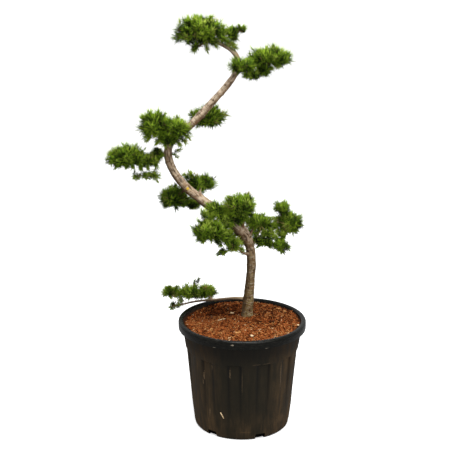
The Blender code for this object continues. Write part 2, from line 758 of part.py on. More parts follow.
def main():
    clear_scene()
    scene = bpy.context.scene.collection
    tree = new_collection("larch_tree", scene)
    cutters = new_collection("cutters", scene)
    black = plain_material("pot_plastic", (0.030, 0.029, 0.026), 0.55)
    brown = plain_material("bark_compost", (0.25, 0.085, 0.030), 0.95)
    bark = plain_material("bark", (0.23, 0.150, 0.100), 0.85)
    green = plain_material("needles", (0.075, 0.150, 0.022), 0.75)

    make_pot(tree, cutters, black)
    make_compost(tree, brown)

    lines = {name: trunk_line(*span) for name, span in TRUNK_SECTIONS.items()}
    for name, (_, root, tip, points) in BOUGHS.items():
        lines[name] = bough_line(root, tip, points)
    for name in TRUNK_SECTIONS:
        section = tube(name, lines[name], roundness_of(name), tree)
        section.data.materials.append(bark)
        smooth_shading(section)
    for name, (parent, *_) in BOUGHS.items():
        bough = tube(name, lines[name], roundness_of(name), tree)
        bough.data.materials.append(bark)
        for limb in {**dict.fromkeys(TRUNK_SECTIONS), parent: None}:
            if any(distance_to_line(p, lines[limb]) < r + GAP for p, r in lines[name]):
                cutter = cutting_tube(f"{name}_off_{limb}", limb, lines[limb], cutters)
                boolean(bough, "DIFFERENCE", cutter)
        bpy.context.view_layer.update()
        bough = baked(bough, weld=0)
        keep_largest(bough)
        smooth_shading(bough)
    for index, name in enumerate(MASSES):
        make_mass(name, index, lines, tree, cutters, green)


main()
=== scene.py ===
# %% [markdown]
# # A cloud-pruned larch in a ribbed container
#
# The tree stands 1.47 m high in a 50 litre container. Its trunk snakes up out of bark
# compost, and each short bough ends in a clipped cloud of needles. The plain solids of this
# tree fix every size and place. The pieces made here bring the moulded plastic, the loose
# compost, the bark, the twigs and the needles.
#
# The solids come in first, as a fixed frame, and their box is kept. Nothing made later may
# reach outside that box.

# %% Load the frame and keep its box
import math
import random

import bmesh
import bpy
import numpy as np
from mathutils import Matrix, Vector, kdtree, noise


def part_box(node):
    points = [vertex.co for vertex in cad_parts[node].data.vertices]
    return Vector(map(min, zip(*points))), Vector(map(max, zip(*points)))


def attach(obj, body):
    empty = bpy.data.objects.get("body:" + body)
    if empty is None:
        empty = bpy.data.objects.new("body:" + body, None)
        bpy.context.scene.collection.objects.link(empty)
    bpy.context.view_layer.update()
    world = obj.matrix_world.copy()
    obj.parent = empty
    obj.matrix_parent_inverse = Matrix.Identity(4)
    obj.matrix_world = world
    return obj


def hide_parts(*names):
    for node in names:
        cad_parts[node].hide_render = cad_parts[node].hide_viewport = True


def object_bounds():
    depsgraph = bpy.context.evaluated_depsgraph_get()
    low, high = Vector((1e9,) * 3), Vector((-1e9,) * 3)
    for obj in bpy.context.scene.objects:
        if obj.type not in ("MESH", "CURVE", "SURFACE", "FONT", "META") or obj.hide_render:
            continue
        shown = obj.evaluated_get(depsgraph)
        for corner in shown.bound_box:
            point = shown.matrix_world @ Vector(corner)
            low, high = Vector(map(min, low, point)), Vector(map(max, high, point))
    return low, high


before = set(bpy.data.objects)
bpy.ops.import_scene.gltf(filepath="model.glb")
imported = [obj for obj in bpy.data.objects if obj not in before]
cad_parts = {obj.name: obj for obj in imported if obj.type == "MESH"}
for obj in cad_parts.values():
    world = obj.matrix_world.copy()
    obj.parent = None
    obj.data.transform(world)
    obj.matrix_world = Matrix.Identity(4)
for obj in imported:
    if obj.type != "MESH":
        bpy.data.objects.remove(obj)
CAD_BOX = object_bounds()
print("solids:", len(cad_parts), "box:", [[round(v, 4) for v in corner] for corner in CAD_BOX])

# %% [markdown]
# ## Camera
#
# The tree is seen from a little above the crown's middle, from straight in front, through a
# long lens. A long lens from far off keeps the container's ellipses flat and the trunk's
# proportions true.

# %% Place the camera
EYE = (-0.0579, -3.5375, 1.7334)
LOOKING_DOWN = math.radians(15.693)
LENS_MM = 83.6

bpy.ops.object.select_all(action="DESELECT")
bpy.ops.object.camera_add(location=EYE, rotation=(math.pi / 2 - LOOKING_DOWN, 0, 0))
camera = bpy.context.object
camera.name = "camera"
camera.data.lens = LENS_MM
bpy.context.scene.camera = camera
print("camera at", EYE, "looking down", round(math.degrees(LOOKING_DOWN), 1), "degrees")

# %% [markdown]
# ## A white studio
#
# The floor is one large white plane, and the world is white too, so that they melt into each
# other. To the camera both are a little overexposed, as on a paper sweep, and no shadow is
# left on them. To everything else they are dimmer, so that the undersides of the clouds stay
# dark. A wide soft light hangs over the tree and a little to the right: it brightens the tops
# of the clouds and draws the pale line along the container's lip. A weaker one on the right
# fills the shadows. The plain Standard view shows white as white.

# %% Floor, world and lights
FLOOR_SIZE = 160.0
FLOOR_WHITE, FLOOR_BOUNCE = 0.93, 0.34
FLOOR_GLOW = 0.55
WORLD_SEEN, WORLD_LIGHT = 1.05, 0.62
LIGHTS = {  # name: (place, aim, width, watts)
    "overhead_light": ((0.15, -0.9, 4.1), (-0.05, 0, 0.9), 2.4, 165),
    "front_light": ((1.9, -3.6, 2.4), (0, 0, 0.7), 2.4, 60),
}


def seen_or_not(tree, seen, otherwise):
    """A grey value that differs between the camera's rays and all others."""
    path = tree.nodes.new("ShaderNodeLightPath")
    made = tree.nodes.new("ShaderNodeMapRange")
    tree.links.new(path.outputs["Is Camera Ray"], made.inputs["Value"])
    made.inputs["To Min"].default_value = otherwise
    made.inputs["To Max"].default_value = seen
    return made.outputs["Result"]


bpy.ops.mesh.primitive_plane_add(size=FLOOR_SIZE)
floor = bpy.context.object
floor.name = "studio_floor"
floor_paint = bpy.data.materials.new("studio_white")
floor_paint.use_nodes = True
tree = floor_paint.node_tree
floor_shader = tree.nodes["Principled BSDF"]
tree.links.new(seen_or_not(tree, FLOOR_WHITE, FLOOR_BOUNCE), floor_shader.inputs["Base Color"])
tree.links.new(seen_or_not(tree, FLOOR_GLOW, 0.0), floor_shader.inputs["Emission Strength"])
floor_shader.inputs["Emission Color"].default_value = (1, 1, 1, 1)
floor_shader.inputs["Roughness"].default_value = 0.9
floor_shader.inputs["Specular IOR Level"].default_value = 0.1
floor.data.materials.append(floor_paint)

world = bpy.data.worlds.new("studio_world")
world.use_nodes = True
tree = world.node_tree
tree.nodes["Background"].inputs["Color"].default_value = (1, 1, 1, 1)
tree.links.new(seen_or_not(tree, WORLD_SEEN, WORLD_LIGHT), tree.nodes["Background"].inputs["Strength"])
bpy.context.scene.world = world
bpy.context.scene.view_settings.view_transform = "Standard"

for name, (place, target, width, watts) in LIGHTS.items():
    bpy.ops.object.light_add(type="AREA", location=place)
    light = bpy.context.object
    light.name = name
    light.data.size = width
    light.data.energy = watts
    light.rotation_euler = (Vector(target) - Vector(place)).to_track_quat("-Z", "Y").to_euler()
print("lights:", sorted(LIGHTS))

# %% [markdown]
# ## Working by hand, in code
#
# An operator acts on everything that is selected, and the solids of the frame come in
# selected. So each piece starts from an empty selection. Points and faces are picked in code,
# by where they lie, just as a person would click on them. A finished piece has its place in
# its mesh, rides on the tree's one body, and hides the solids that it stands for.

# %% Selecting, applying and finishing
BODY = "root"


def take(obj):
    """Select only this object and make it the active one."""
    bpy.ops.object.select_all(action="DESELECT")
    obj.select_set(True)
    bpy.context.view_layer.objects.active = obj


def pick(obj, wanted):
    """In edit mode, select only the points that pass a test."""
    bpy.ops.mesh.select_mode(type="VERT")
    bpy.ops.mesh.select_all(action="DESELECT")
    mesh = bmesh.from_edit_mesh(obj.data)
    for vertex in mesh.verts:
        vertex.select = wanted(vertex.co)
    mesh.select_flush(True)
    bmesh.update_edit_mesh(obj.data)


def applied(obj, kind, **settings):
    """Add a modifier, set it, and apply it at once."""
    take(obj)
    bpy.ops.object.modifier_add(type=kind)
    modifier = obj.modifiers[-1]
    for key, value in settings.items():
        setattr(modifier, key, value)
    bpy.ops.object.modifier_apply(modifier=modifier.name)


def finished(obj, materials, slot, *nodes):
    """Give a piece its finish, let it ride on the tree, and hide the solids that it replaces."""
    for material in materials:
        obj.data.materials.append(material)
    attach(obj, BODY)
    if nodes:
        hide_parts(*nodes)
    triangles = sum(len(p.vertices) - 2 for p in obj.data.polygons)
    print(f"{obj.name}: {triangles} triangles")


# %% [markdown]
# ## Finishes shared by several materials
#
# Dust, damp, lichen and scars are all patches of one colour over another. They differ in size,
# stretch and cover only, so one node group makes them all. A second group marks a single spot,
# such as a scuff, and a third gives the fine relief that every rough surface has. The groups
# put out masks and heights. The shader itself stays in each material.

# %% Small helpers for node trees
def add(tree, kind, settings, feeds):
    """A node with its settings, and each input set to a value or fed by another's output."""
    made = tree.nodes.new(kind)
    for key, value in settings.items():
        setattr(made, key, value)
    for key, value in feeds.items():
        if isinstance(value, bpy.types.NodeSocket):
            tree.links.new(value, made.inputs[key])
        else:
            made.inputs[key].default_value = value
    return made


def math_node(tree, operation, first, second=0.0, clamp=False):
    """One sum on two values or outputs."""
    settings = {"operation": operation, "use_clamp": clamp}
    return add(tree, "ShaderNodeMath", settings, {0: first, 1: second}).outputs[0]


def mixed(tree, share, below, above):
    """One colour laid over another. A plain RGB colour is given its alpha here."""
    def rgba(colour):
        return colour if isinstance(colour, bpy.types.NodeSocket) else (*colour, 1.0)
    feeds = {0: share, 6: rgba(below), 7: rgba(above)}
    made = add(tree, "ShaderNodeMix", {"data_type": "RGBA"}, feeds)
    return made.outputs[2]


def laid(tree, mask, strength, below, above):
    """One colour laid over another through a mask, never thicker than the strength."""
    return mixed(tree, math_node(tree, "MULTIPLY", mask, strength), below, above)


def new_group(name, inputs, outputs):
    """An empty shader group with named sockets, and its two end nodes."""
    group = bpy.data.node_groups.new(name, "ShaderNodeTree")
    for label, kind, value in inputs:
        socket = group.interface.new_socket(label, in_out="INPUT", socket_type=kind)
        socket.default_value = value
    for label in outputs:
        group.interface.new_socket(label, in_out="OUTPUT", socket_type="NodeSocketFloat")
    return group, group.nodes.new("NodeGroupInput"), group.nodes.new("NodeGroupOutput")


# %% The patches group
NUMBER, ARROW = "NodeSocketFloat", "NodeSocketVector"
BARE_LEVEL, COVER_SPAN = 0.72, 0.44  # the noise level where nothing is covered, and the way to all

patches, start, end = new_group(
    "patches",
    (("Vector", ARROW, (0, 0, 0)), ("Stretch", ARROW, (1, 1, 1)), ("Scale", NUMBER, 20.0),
     ("Detail", NUMBER, 3.0), ("Cover", NUMBER, 0.5), ("Edge", NUMBER, 0.08)),
    ("Mask",),
)
stretched = add(patches, "ShaderNodeVectorMath", {"operation": "MULTIPLY"},
                {0: start.outputs["Vector"], 1: start.outputs["Stretch"]})
cloud = add(patches, "ShaderNodeTexNoise", {},
            {"Vector": stretched.outputs[0], "Scale": start.outputs["Scale"],
             "Detail": start.outputs["Detail"], "Roughness": 0.6})
covered = math_node(patches, "MULTIPLY", start.outputs["Cover"], COVER_SPAN)
level = math_node(patches, "SUBTRACT", BARE_LEVEL, covered)
low = math_node(patches, "SUBTRACT", level, start.outputs["Edge"])
high = math_node(patches, "ADD", level, start.outputs["Edge"])
cut = add(patches, "ShaderNodeMapRange", {"interpolation_type": "SMOOTHSTEP"},
          {0: cloud.outputs[0], 1: low, 2: high})
patches.links.new(cut.outputs[0], end.inputs["Mask"])

# %% The spot group and the fine relief group
SPOT_CORE = 0.55  # a spot is full up to this share of its reach
SPOT_CRUMBS = 240.0
RELIEF_COARSE, RELIEF_CELLS = 0.7, 0.3

spot, start, end = new_group(
    "spot", (("Vector", ARROW, (0, 0, 0)), ("Place", ARROW, (0, 0, 0)),
             ("Reach", ARROW, (0.01, 0.01, 0.01)), ("Breakup", NUMBER, 0.5)), ("Mask",))
away = add(spot, "ShaderNodeVectorMath", {"operation": "SUBTRACT"},
           {0: start.outputs["Vector"], 1: start.outputs["Place"]})
shares = add(spot, "ShaderNodeVectorMath", {"operation": "DIVIDE"},
             {0: away.outputs[0], 1: start.outputs["Reach"]})
length = add(spot, "ShaderNodeVectorMath", {"operation": "LENGTH"}, {0: shares.outputs[0]})
crumbs = add(spot, "ShaderNodeTexNoise", {}, {"Vector": start.outputs["Vector"], "Scale": SPOT_CRUMBS})
uneven = math_node(spot, "SUBTRACT", crumbs.outputs[0], 0.5)
rough_edge = math_node(spot, "MULTIPLY", uneven, start.outputs["Breakup"])
reach = math_node(spot, "ADD", length.outputs["Value"], math_node(spot, "MULTIPLY", rough_edge, 4.0))
fade = add(spot, "ShaderNodeMapRange", {"interpolation_type": "SMOOTHSTEP"},
           {0: reach, 1: 1.0, 2: SPOT_CORE, 3: 0.0, 4: 1.0})
spot.links.new(fade.outputs[0], end.inputs["Mask"])

relief, start, end = new_group(
    "fine_relief", (("Vector", ARROW, (0, 0, 0)), ("Stretch", ARROW, (1, 1, 1)),
                    ("Scale", NUMBER, 300.0)), ("Height",))
stretched = add(relief, "ShaderNodeVectorMath", {"operation": "MULTIPLY"},
                {0: start.outputs["Vector"], 1: start.outputs["Stretch"]})
coarse = add(relief, "ShaderNodeTexNoise", {},
             {"Vector": stretched.outputs[0], "Scale": start.outputs["Scale"], "Detail": 4.0})
cells = add(relief, "ShaderNodeTexVoronoi", {},
            {"Vector": stretched.outputs[0], "Scale": start.outputs["Scale"]})
coarse_part = math_node(relief, "MULTIPLY", coarse.outputs[0], RELIEF_COARSE)
cell_part = math_node(relief, "MULTIPLY", cells.outputs["Distance"], RELIEF_CELLS)
height = math_node(relief, "ADD", coarse_part, cell_part)
relief.links.new(height, end.inputs["Height"])
print("shader groups:", [g.name for g in (patches, spot, relief)])


# %% Using the groups
def patch_mask(tree, vector, stretch, scale, cover, edge=0.08, detail=3.0):
    """A mask of patches. A small edge makes them sharp, and a wide one melts them together."""
    feeds = {"Vector": vector, "Stretch": stretch, "Scale": scale, "Cover": cover,
             "Edge": edge, "Detail": detail}
    return add(tree, "ShaderNodeGroup", {"node_tree": patches}, feeds).outputs["Mask"]


def spot_mask(tree, vector, place, reach, breakup=0.5):
    """A mask of one spot at a place, as long, deep and high as its reach."""
    feeds = {"Vector": vector, "Place": place, "Reach": reach, "Breakup": breakup}
    return add(tree, "ShaderNodeGroup", {"node_tree": spot}, feeds).outputs["Mask"]


def bumped(tree, vector, stretch, scale, strength, depth, more=None):
    """A normal bent by the fine relief, and by another height if one is given."""
    feeds = {"Vector": vector, "Stretch": stretch, "Scale": scale}
    height = add(tree, "ShaderNodeGroup", {"node_tree": relief}, feeds).outputs["Height"]
    if more is not None:
        height = math_node(tree, "ADD", height, more)
    feeds = {"Strength": strength, "Distance": depth, "Height": height}
    return add(tree, "ShaderNodeBump", {}, feeds).outputs[0]


def new_material(name, roughness, specular=0.5):
    """A material with its shader, its tree, and the object coordinates to work from."""
    material = bpy.data.materials.new(name)
    material.use_nodes = True
    tree = material.node_tree
    shader = tree.nodes["Principled BSDF"]
    shader.inputs["Roughness"].default_value = roughness
    shader.inputs["Specular IOR Level"].default_value = specular
    place = tree.nodes.new("ShaderNodeTexCoord").outputs["Object"]
    return material, tree, shader, place


# %% [markdown]
# ## The container
#
# The real container is blow-moulded in one piece: a thin wall with a rolled lip, a plain band
# under it, twelve sunk panels between broad ribs, and a rounded foot with six drains cut in
# its edge. It could be turned with a Screw modifier, but the panels need rings of points to
# push in. So a circle is drawn for the base, and its edge is extruded and resized ring by
# ring, up the outside, over the lip and down the inside, until the floor closes it.

# %% The container's line
POT_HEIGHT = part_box("pot")[1].z
RIM_RADIUS = 0.2289
BASE_RADIUS = 0.163
POT_STEPS = 288
PANELS = 12
PANEL_DEPTH = 0.006
PANEL_TOP, PANEL_FOOT = 0.291, 0.084
PANEL_ROWS = 9
FIRST_PANEL_ANGLE = math.radians(21.5)
FOOT_CURVE = ((0.1668, 0.0012), (0.1702, 0.0050), (0.1719, 0.0095), (0.1726, 0.0130))
WALL_LINE = ((0.1810, PANEL_FOOT), (0.1962, 0.250), (0.1998, PANEL_TOP))
BAND = ((0.2027, 0.2965), (0.2036, 0.3000), (0.2085, 0.3310), (0.2131, 0.3600), (0.2139, 0.3636))
LIP = ((0.2160, 0.3652), (0.2262, 0.3655), (0.2282, 0.3664), (0.2288, 0.3690),
       (RIM_RADIUS, 0.3850), (0.2284, 0.3905), (0.2264, 0.3936), (0.2230, POT_HEIGHT),
       (0.2165, POT_HEIGHT), (0.2131, 0.3938), (0.2111, 0.3912), (0.2102, 0.3870))
INSIDE = ((0.2000, 0.2990), (0.1903, 0.2875), (0.1775, 0.0840), (0.1615, 0.0040))
HAIR = 1e-4  # points closer than this count as level


def wall_at(height):
    """The ribs' radius at a height, along the wall line."""
    for (r0, z0), (r1, z1) in zip(WALL_LINE, WALL_LINE[1:]):
        if height <= z1:
            return r0 + (r1 - r0) * (height - z0) / (z1 - z0)
    return WALL_LINE[-1][0]


panel_rows = (k / PANEL_ROWS for k in range(PANEL_ROWS + 1))
panel_heights = [PANEL_FOOT + (PANEL_TOP - PANEL_FOOT) * share for share in panel_rows]
pot_line = [*FOOT_CURVE, *((wall_at(z), z) for z in panel_heights), *BAND, *LIP, *INSIDE]
print("rings on the container:", len(pot_line) + 1)


# %% Draw the container ring by ring
def extrude_rings(radius, height, line):
    """From a selected ring, extrude and resize one ring after another along a line."""
    for next_radius, next_height in line:
        lift = (0, 0, next_height - height)
        bpy.ops.mesh.extrude_edges_move(TRANSFORM_OT_translate={"value": lift})
        share = next_radius / radius
        bpy.ops.transform.resize(value=(share, share, 1), center_override=(0, 0, next_height))
        radius, height = next_radius, next_height


bpy.ops.object.select_all(action="DESELECT")
bpy.ops.mesh.primitive_circle_add(
    vertices=POT_STEPS, radius=BASE_RADIUS, fill_type="NGON", rotation=(0, 0, FIRST_PANEL_ANGLE))
pot = bpy.context.object
pot.name = "ribbed_container"
bpy.ops.object.transform_apply(location=True, rotation=True, scale=True)
bpy.ops.object.mode_set(mode="EDIT")
bpy.ops.mesh.select_mode(type="EDGE")
bpy.ops.mesh.select_all(action="SELECT")
extrude_rings(BASE_RADIUS, 0.0, pot_line)
bpy.ops.mesh.edge_face_add()
print("container drawn, with a base of", BASE_RADIUS, "and a rim of", RIM_RADIUS)

# %% Sink the panels between the ribs
PANEL_SHAPE = (  # (from, to, share of the depth), in degrees from the panel's middle
    (0.0, 4.6, 1.0), (4.6, 5.6, 0.93), (5.6, 6.9, 0.62), (6.9, 8.1, 0.20))


def degrees_off_panel(point):
    """How far round a point lies from the middle of its panel."""
    pitch = 360 / PANELS
    turn = math.degrees(math.atan2(point.y, point.x) - FIRST_PANEL_ANGLE) % pitch
    return min(turn, pitch - turn)


for height in panel_heights[1:]:
    rib = wall_at(height)
    depth = PANEL_DEPTH * (height - PANEL_FOOT) / (PANEL_TOP - PANEL_FOOT)
    for inner, outer, share in PANEL_SHAPE:
        pick(pot, lambda p: abs(p.z - height) < HAIR and math.hypot(p.x, p.y) > rib - HAIR
             and inner <= degrees_off_panel(p) < outer)
        shrink = (rib - depth * share) / rib
        bpy.ops.transform.resize(value=(shrink, shrink, 1), center_override=(0, 0, height))
bpy.ops.mesh.select_all(action="SELECT")
bpy.ops.mesh.normals_make_consistent(inside=False)
bpy.ops.object.mode_set(mode="OBJECT")
print("panels:", PANELS, "sunk by up to", PANEL_DEPTH * 1000, "mm")

# %% Cut the drains
DRAINS = 6
FIRST_DRAIN_ANGLE = math.radians(51.5)
DRAIN_CENTRE, DRAIN_REACH, DRAIN_WIDTH, DRAIN_HEIGHT = 0.1726, 0.040, 0.036, 0.0215
DRAIN_CORNER = 0.003
BELOW_FLOOR = 0.001  # the cutters start this far under the base
SHARP_FROM = math.radians(42)  # edges that turn more than this stay sharp

drain_cutters = []
for index in range(DRAINS):
    angle = FIRST_DRAIN_ANGLE + index * math.tau / DRAINS
    height = DRAIN_HEIGHT + BELOW_FLOOR
    place = (DRAIN_CENTRE * math.cos(angle), DRAIN_CENTRE * math.sin(angle),
             DRAIN_HEIGHT - height / 2)
    bpy.ops.mesh.primitive_cube_add(size=1, location=place, rotation=(0, 0, angle))
    cutter = bpy.context.object
    cutter.scale = (DRAIN_REACH, DRAIN_WIDTH, height)
    bpy.ops.object.transform_apply(location=True, rotation=True, scale=True)
    applied(cutter, "BEVEL", width=DRAIN_CORNER, segments=3, limit_method="ANGLE")
    drain_cutters.append(cutter)
for cutter in drain_cutters:
    applied(pot, "BOOLEAN", operation="DIFFERENCE", object=cutter, solver="EXACT")
    bpy.data.objects.remove(cutter)
take(pot)
bpy.ops.object.shade_smooth_by_angle(angle=SHARP_FROM)
print("drains:", DRAINS, "faces on the container:", len(pot.data.polygons))

# %% [markdown]
# ### Dusty black plastic
#
# The wall is nearly black and dull, a little brown where dried compost water has left a film.
# The film runs down in long streaks, so its patches are stretched upright. It is laid thicker
# towards the left and right sides, and dust lies thicker at the foot. The steep walls of each
# sunk panel and the band under the lip get painted shade. That needs each point's place in its
# panel, so it is written down on the mesh. The lip is cleaner and shinier, and the hollows of
# the drains are all painted shadow. Scuffs, dashes of dust and a few painted highlight lines
# along rib corners have their own places.

# %% Write down the panels' side walls, for their painted shade
PANEL_EDGE, PANEL_EDGE_WIDTH = 6.2, 1.3  # degrees from the panel's middle
LOWEST_CLIMB, HIGHEST_CLIMB = 0.02, 1.01  # shares of the panel's height
SURFACE = 0.0008  # what lies further in than this under a panel is the inside of the wall
LIP_FOOT = 0.3653
HOLLOW_RADIUS = 0.1664  # faces of the foot nearer the middle belong to the drains
HOLLOW_FOOT, HOLLOW_TOP = 0.0002, DRAIN_HEIGHT + 0.0005
WALL_SLOT, LIP_SLOT, HOLLOW_SLOT = 0, 1, 2


def panel_wall_shade(point):
    """1 on the steep side walls of a sunk panel, fading to 0 elsewhere."""
    climb = (point.z - PANEL_FOOT) / (PANEL_TOP - PANEL_FOOT)
    radius = math.hypot(point.x, point.y)
    surface = wall_at(point.z) - PANEL_DEPTH * climb - SURFACE
    if not LOWEST_CLIMB < climb < HIGHEST_CLIMB or radius < surface:
        return 0.0
    pitch = 360 / PANELS
    turn = math.degrees(math.atan2(point.y, point.x) - FIRST_PANEL_ANGLE)
    turn = (turn + pitch / 2) % pitch - pitch / 2
    return climb**0.5 * math.exp(-((abs(turn) - PANEL_EDGE) / PANEL_EDGE_WIDTH) ** 2)


walls = pot.data.attributes.new("panel_wall_shade", "FLOAT", "POINT")
walls.data.foreach_set("value", [panel_wall_shade(vertex.co) for vertex in pot.data.vertices])
for polygon in pot.data.polygons:
    polygon.material_index = LIP_SLOT if polygon.center.z > LIP_FOOT else WALL_SLOT
    out_by = math.hypot(polygon.center.x, polygon.center.y)
    if HOLLOW_FOOT < polygon.center.z < HOLLOW_TOP and out_by < HOLLOW_RADIUS:
        polygon.material_index = HOLLOW_SLOT
hollow_faces = sum(polygon.material_index == HOLLOW_SLOT for polygon in pot.data.polygons)
print("faces in the drains' hollows:", hollow_faces)

# %% Scuffs, dashes of dust and painted highlight lines
DUST, STREAK_AND_LIT_EDGE, PALE_DUST = (0.086, 0.053, 0.026), (0.170, 0.115, 0.065), (0.42, 0.36, 0.27)
SCUFFS_AND_LIT_EDGES = (  # (place, reach, colour, strength)
    ((-0.0359, -0.2265, 0.3832), (0.0070, 0.006, 0.0028), PALE_DUST, 0.55),
    ((-0.0990, -0.2110, 0.3675), (0.0070, 0.020, 0.0013), PALE_DUST, 0.40),
    ((0.0814, -0.2135, 0.3680), (0.0075, 0.012, 0.0012), PALE_DUST, 0.30),
    ((0.0480, -0.1990, 0.2990), (0.0190, 0.012, 0.0022), STREAK_AND_LIT_EDGE, 0.20),
    ((0.0840, -0.1860, 0.2985), (0.0200, 0.016, 0.0022), STREAK_AND_LIT_EDGE, 0.20),
    ((-0.1348, -0.1410, 0.2300), (0.0036, 0.012, 0.0260), STREAK_AND_LIT_EDGE, 0.58),
    ((-0.1375, -0.1400, 0.2080), (0.0034, 0.012, 0.0120), STREAK_AND_LIT_EDGE, 0.50),
    ((-0.1063, -0.1700, 0.2800), (0.0032, 0.012, 0.0220), STREAK_AND_LIT_EDGE, 0.45),
    # At -0.0442, 0.1340 and -0.0020 across, the pale dashes are painted highlights: light lines along
    # lit rib corners.
    ((-0.0442, -0.1900, 0.2600), (0.0034, 0.012, 0.0210), STREAK_AND_LIT_EDGE, 0.42),
    ((-0.1145, -0.1420, 0.0980), (0.0026, 0.012, 0.0180), STREAK_AND_LIT_EDGE, 0.55),
    ((0.1340, -0.1420, 0.2300), (0.0022, 0.016, 0.0700), STREAK_AND_LIT_EDGE, 0.45),
    ((-0.0020, -0.1940, 0.2300), (0.0020, 0.012, 0.0600), STREAK_AND_LIT_EDGE, 0.22),
    ((0.1330, -0.1100, 0.0600), (0.0240, 0.030, 0.0200), DUST, 0.60),
    ((0.0100, -0.1740, 0.0330), (0.0240, 0.012, 0.0040), DUST, 0.50),
)


def scuffed_and_lit(tree, place, colour):
    """The marks that have their own places, laid over a colour."""
    for where, reach, tint, strength in SCUFFS_AND_LIT_EDGES:
        mark = spot_mask(tree, place, where, reach)
        colour = laid(tree, mark, strength, colour, tint)
    return colour


print("marks with places of their own:", len(SCUFFS_AND_LIT_EDGES))

# %% Mix the plastic
PLASTIC, LIP_BLACK = (0.0116, 0.0108, 0.0068), (0.0024, 0.0026, 0.0016)
# PANEL_SHADE is painted shade, for the panels' side walls and the band under the lip.
PANEL_SHADE, RUBBED = (0.003, 0.003, 0.003), (0.09, 0.085, 0.07)
# Painted shadow for the hollows of the drains: near black, with brownish patches.
DRAIN_SHADE, DRAIN_SHADE_BROWN = (0.0008, 0.0008, 0.0007), (0.0030, 0.0024, 0.0018)


def from_mesh(tree, name, output="Fac"):
    """What a mesh holds under a name, point by point."""
    return add(tree, "ShaderNodeAttribute", {"attribute_name": name}, {}).outputs[output]


plastic, tree, shader, place = new_material("dusty_black_plastic", 0.55, 0.12)
axes = add(tree, "ShaderNodeSeparateXYZ", {}, {0: place})
sideways = math_node(tree, "ABSOLUTE", axes.outputs["X"])
# The film is laid thicker towards the left and right sides, and towards the foot.
at_side = add(tree, "ShaderNodeMapRange", {"interpolation_type": "SMOOTHSTEP"},
              {0: sideways, 1: 0.05, 2: 0.18, 3: 0.12, 4: 0.9}).outputs[0]
low_down = add(tree, "ShaderNodeMapRange", {"interpolation_type": "SMOOTHSTEP"},
               {0: axes.outputs["Z"], 1: 0.14, 2: 0.01, 3: 0.0, 4: 0.40}).outputs[0]
film_weight = math_node(tree, "ADD", at_side, low_down, clamp=True)
film = patch_mask(tree, place, (1, 1, 0.10), 46.0, 0.66, 0.24, 5.0)
runs = patch_mask(tree, place, (1, 1, 0.045), 150.0, 0.36, 0.10, 4.0)
blotch = patch_mask(tree, place, (1, 1, 0.8), 14.0, 0.5, 0.2, 4.0)
film = math_node(tree, "ADD", film, math_node(tree, "MULTIPLY", runs, 0.5))
film = math_node(tree, "MULTIPLY", film, film_weight)
cloudy = math_node(tree, "ADD", math_node(tree, "MULTIPLY", blotch, 0.5), 0.5)
film = math_node(tree, "MULTIPLY", film, cloudy, clamp=True)
colour = mixed(tree, film, PLASTIC, DUST)
# Painted shade on the steep side walls of the sunk panels.
colour = laid(tree, from_mesh(tree, "panel_wall_shade"), 0.85, colour, PANEL_SHADE)
# Painted shade on the band under the lip, darkest just below it.
under_lip_shade = add(tree, "ShaderNodeMapRange", {"interpolation_type": "SMOOTHSTEP"},
                {0: axes.outputs["Z"], 1: 0.270, 2: 0.345, 3: 0.0, 4: 0.6}).outputs[0]
colour = mixed(tree, under_lip_shade, colour, PANEL_SHADE)
tree.links.new(scuffed_and_lit(tree, place, colour), shader.inputs["Base Color"])
dull = math_node(tree, "ADD", math_node(tree, "MULTIPLY", film, 0.35), 0.50)
tree.links.new(dull, shader.inputs["Roughness"])
tree.links.new(bumped(tree, place, (1, 1, 0.6), 420.0, 0.16, 0.0006), shader.inputs["Normal"])

lip_plastic, tree, shader, place = new_material("shiny_lip_plastic", 0.21, 0.17)
rubbed = patch_mask(tree, place, (1, 1, 6), 60.0, 0.35, 0.12, 4.0)
colour = laid(tree, rubbed, 0.10, LIP_BLACK, RUBBED)
tree.links.new(scuffed_and_lit(tree, place, colour), shader.inputs["Base Color"])
dull = math_node(tree, "ADD", math_node(tree, "MULTIPLY", rubbed, 0.20), 0.22)
tree.links.new(dull, shader.inputs["Roughness"])
tree.links.new(bumped(tree, place, (1, 1, 1), 300.0, 0.12, 0.0005), shader.inputs["Normal"])

# The drains' hollows are painted shadow.
drain_shadow, tree, shader, place = new_material("drain_shadow", 0.9, 0.05)
drain_shade_patches = patch_mask(tree, place, (1, 1, 1), 60.0, 0.5, 0.2)
tree.links.new(mixed(tree, drain_shade_patches, DRAIN_SHADE, DRAIN_SHADE_BROWN), shader.inputs["Base Color"])
finished(pot, [plastic, lip_plastic, drain_shadow], "pot_plastic", "pot")

# %% [markdown]
# ### Behind the drains
#
# The wall is thin, so light from inside would show through the drains as pale slits. In the
# real container wet compost fills the foot and they look black. A short ring of painted shadow
# stands just inside them for the same effect.

# %% Line the foot, so that the drains look into shadow
SHADOW_RING_RADIUS, SHADOW_RING_FOOT, SHADOW_RING_TOP, SHADOW_RING_WALL = 0.1632, 0.0042, 0.0260, 0.001
SHADOW_RING_STEPS = 96

bpy.ops.mesh.primitive_cylinder_add(
    vertices=SHADOW_RING_STEPS, radius=SHADOW_RING_RADIUS, depth=SHADOW_RING_TOP - SHADOW_RING_FOOT, end_fill_type="NOTHING",
    location=(0, 0, (SHADOW_RING_TOP + SHADOW_RING_FOOT) / 2))
shadow_ring = bpy.context.object
shadow_ring.name = "drain_shadow_ring"
bpy.ops.object.transform_apply(location=True, rotation=True, scale=True)
applied(shadow_ring, "SOLIDIFY", thickness=SHADOW_RING_WALL, offset=-1)
finished(shadow_ring, [drain_shadow], "pot_plastic")

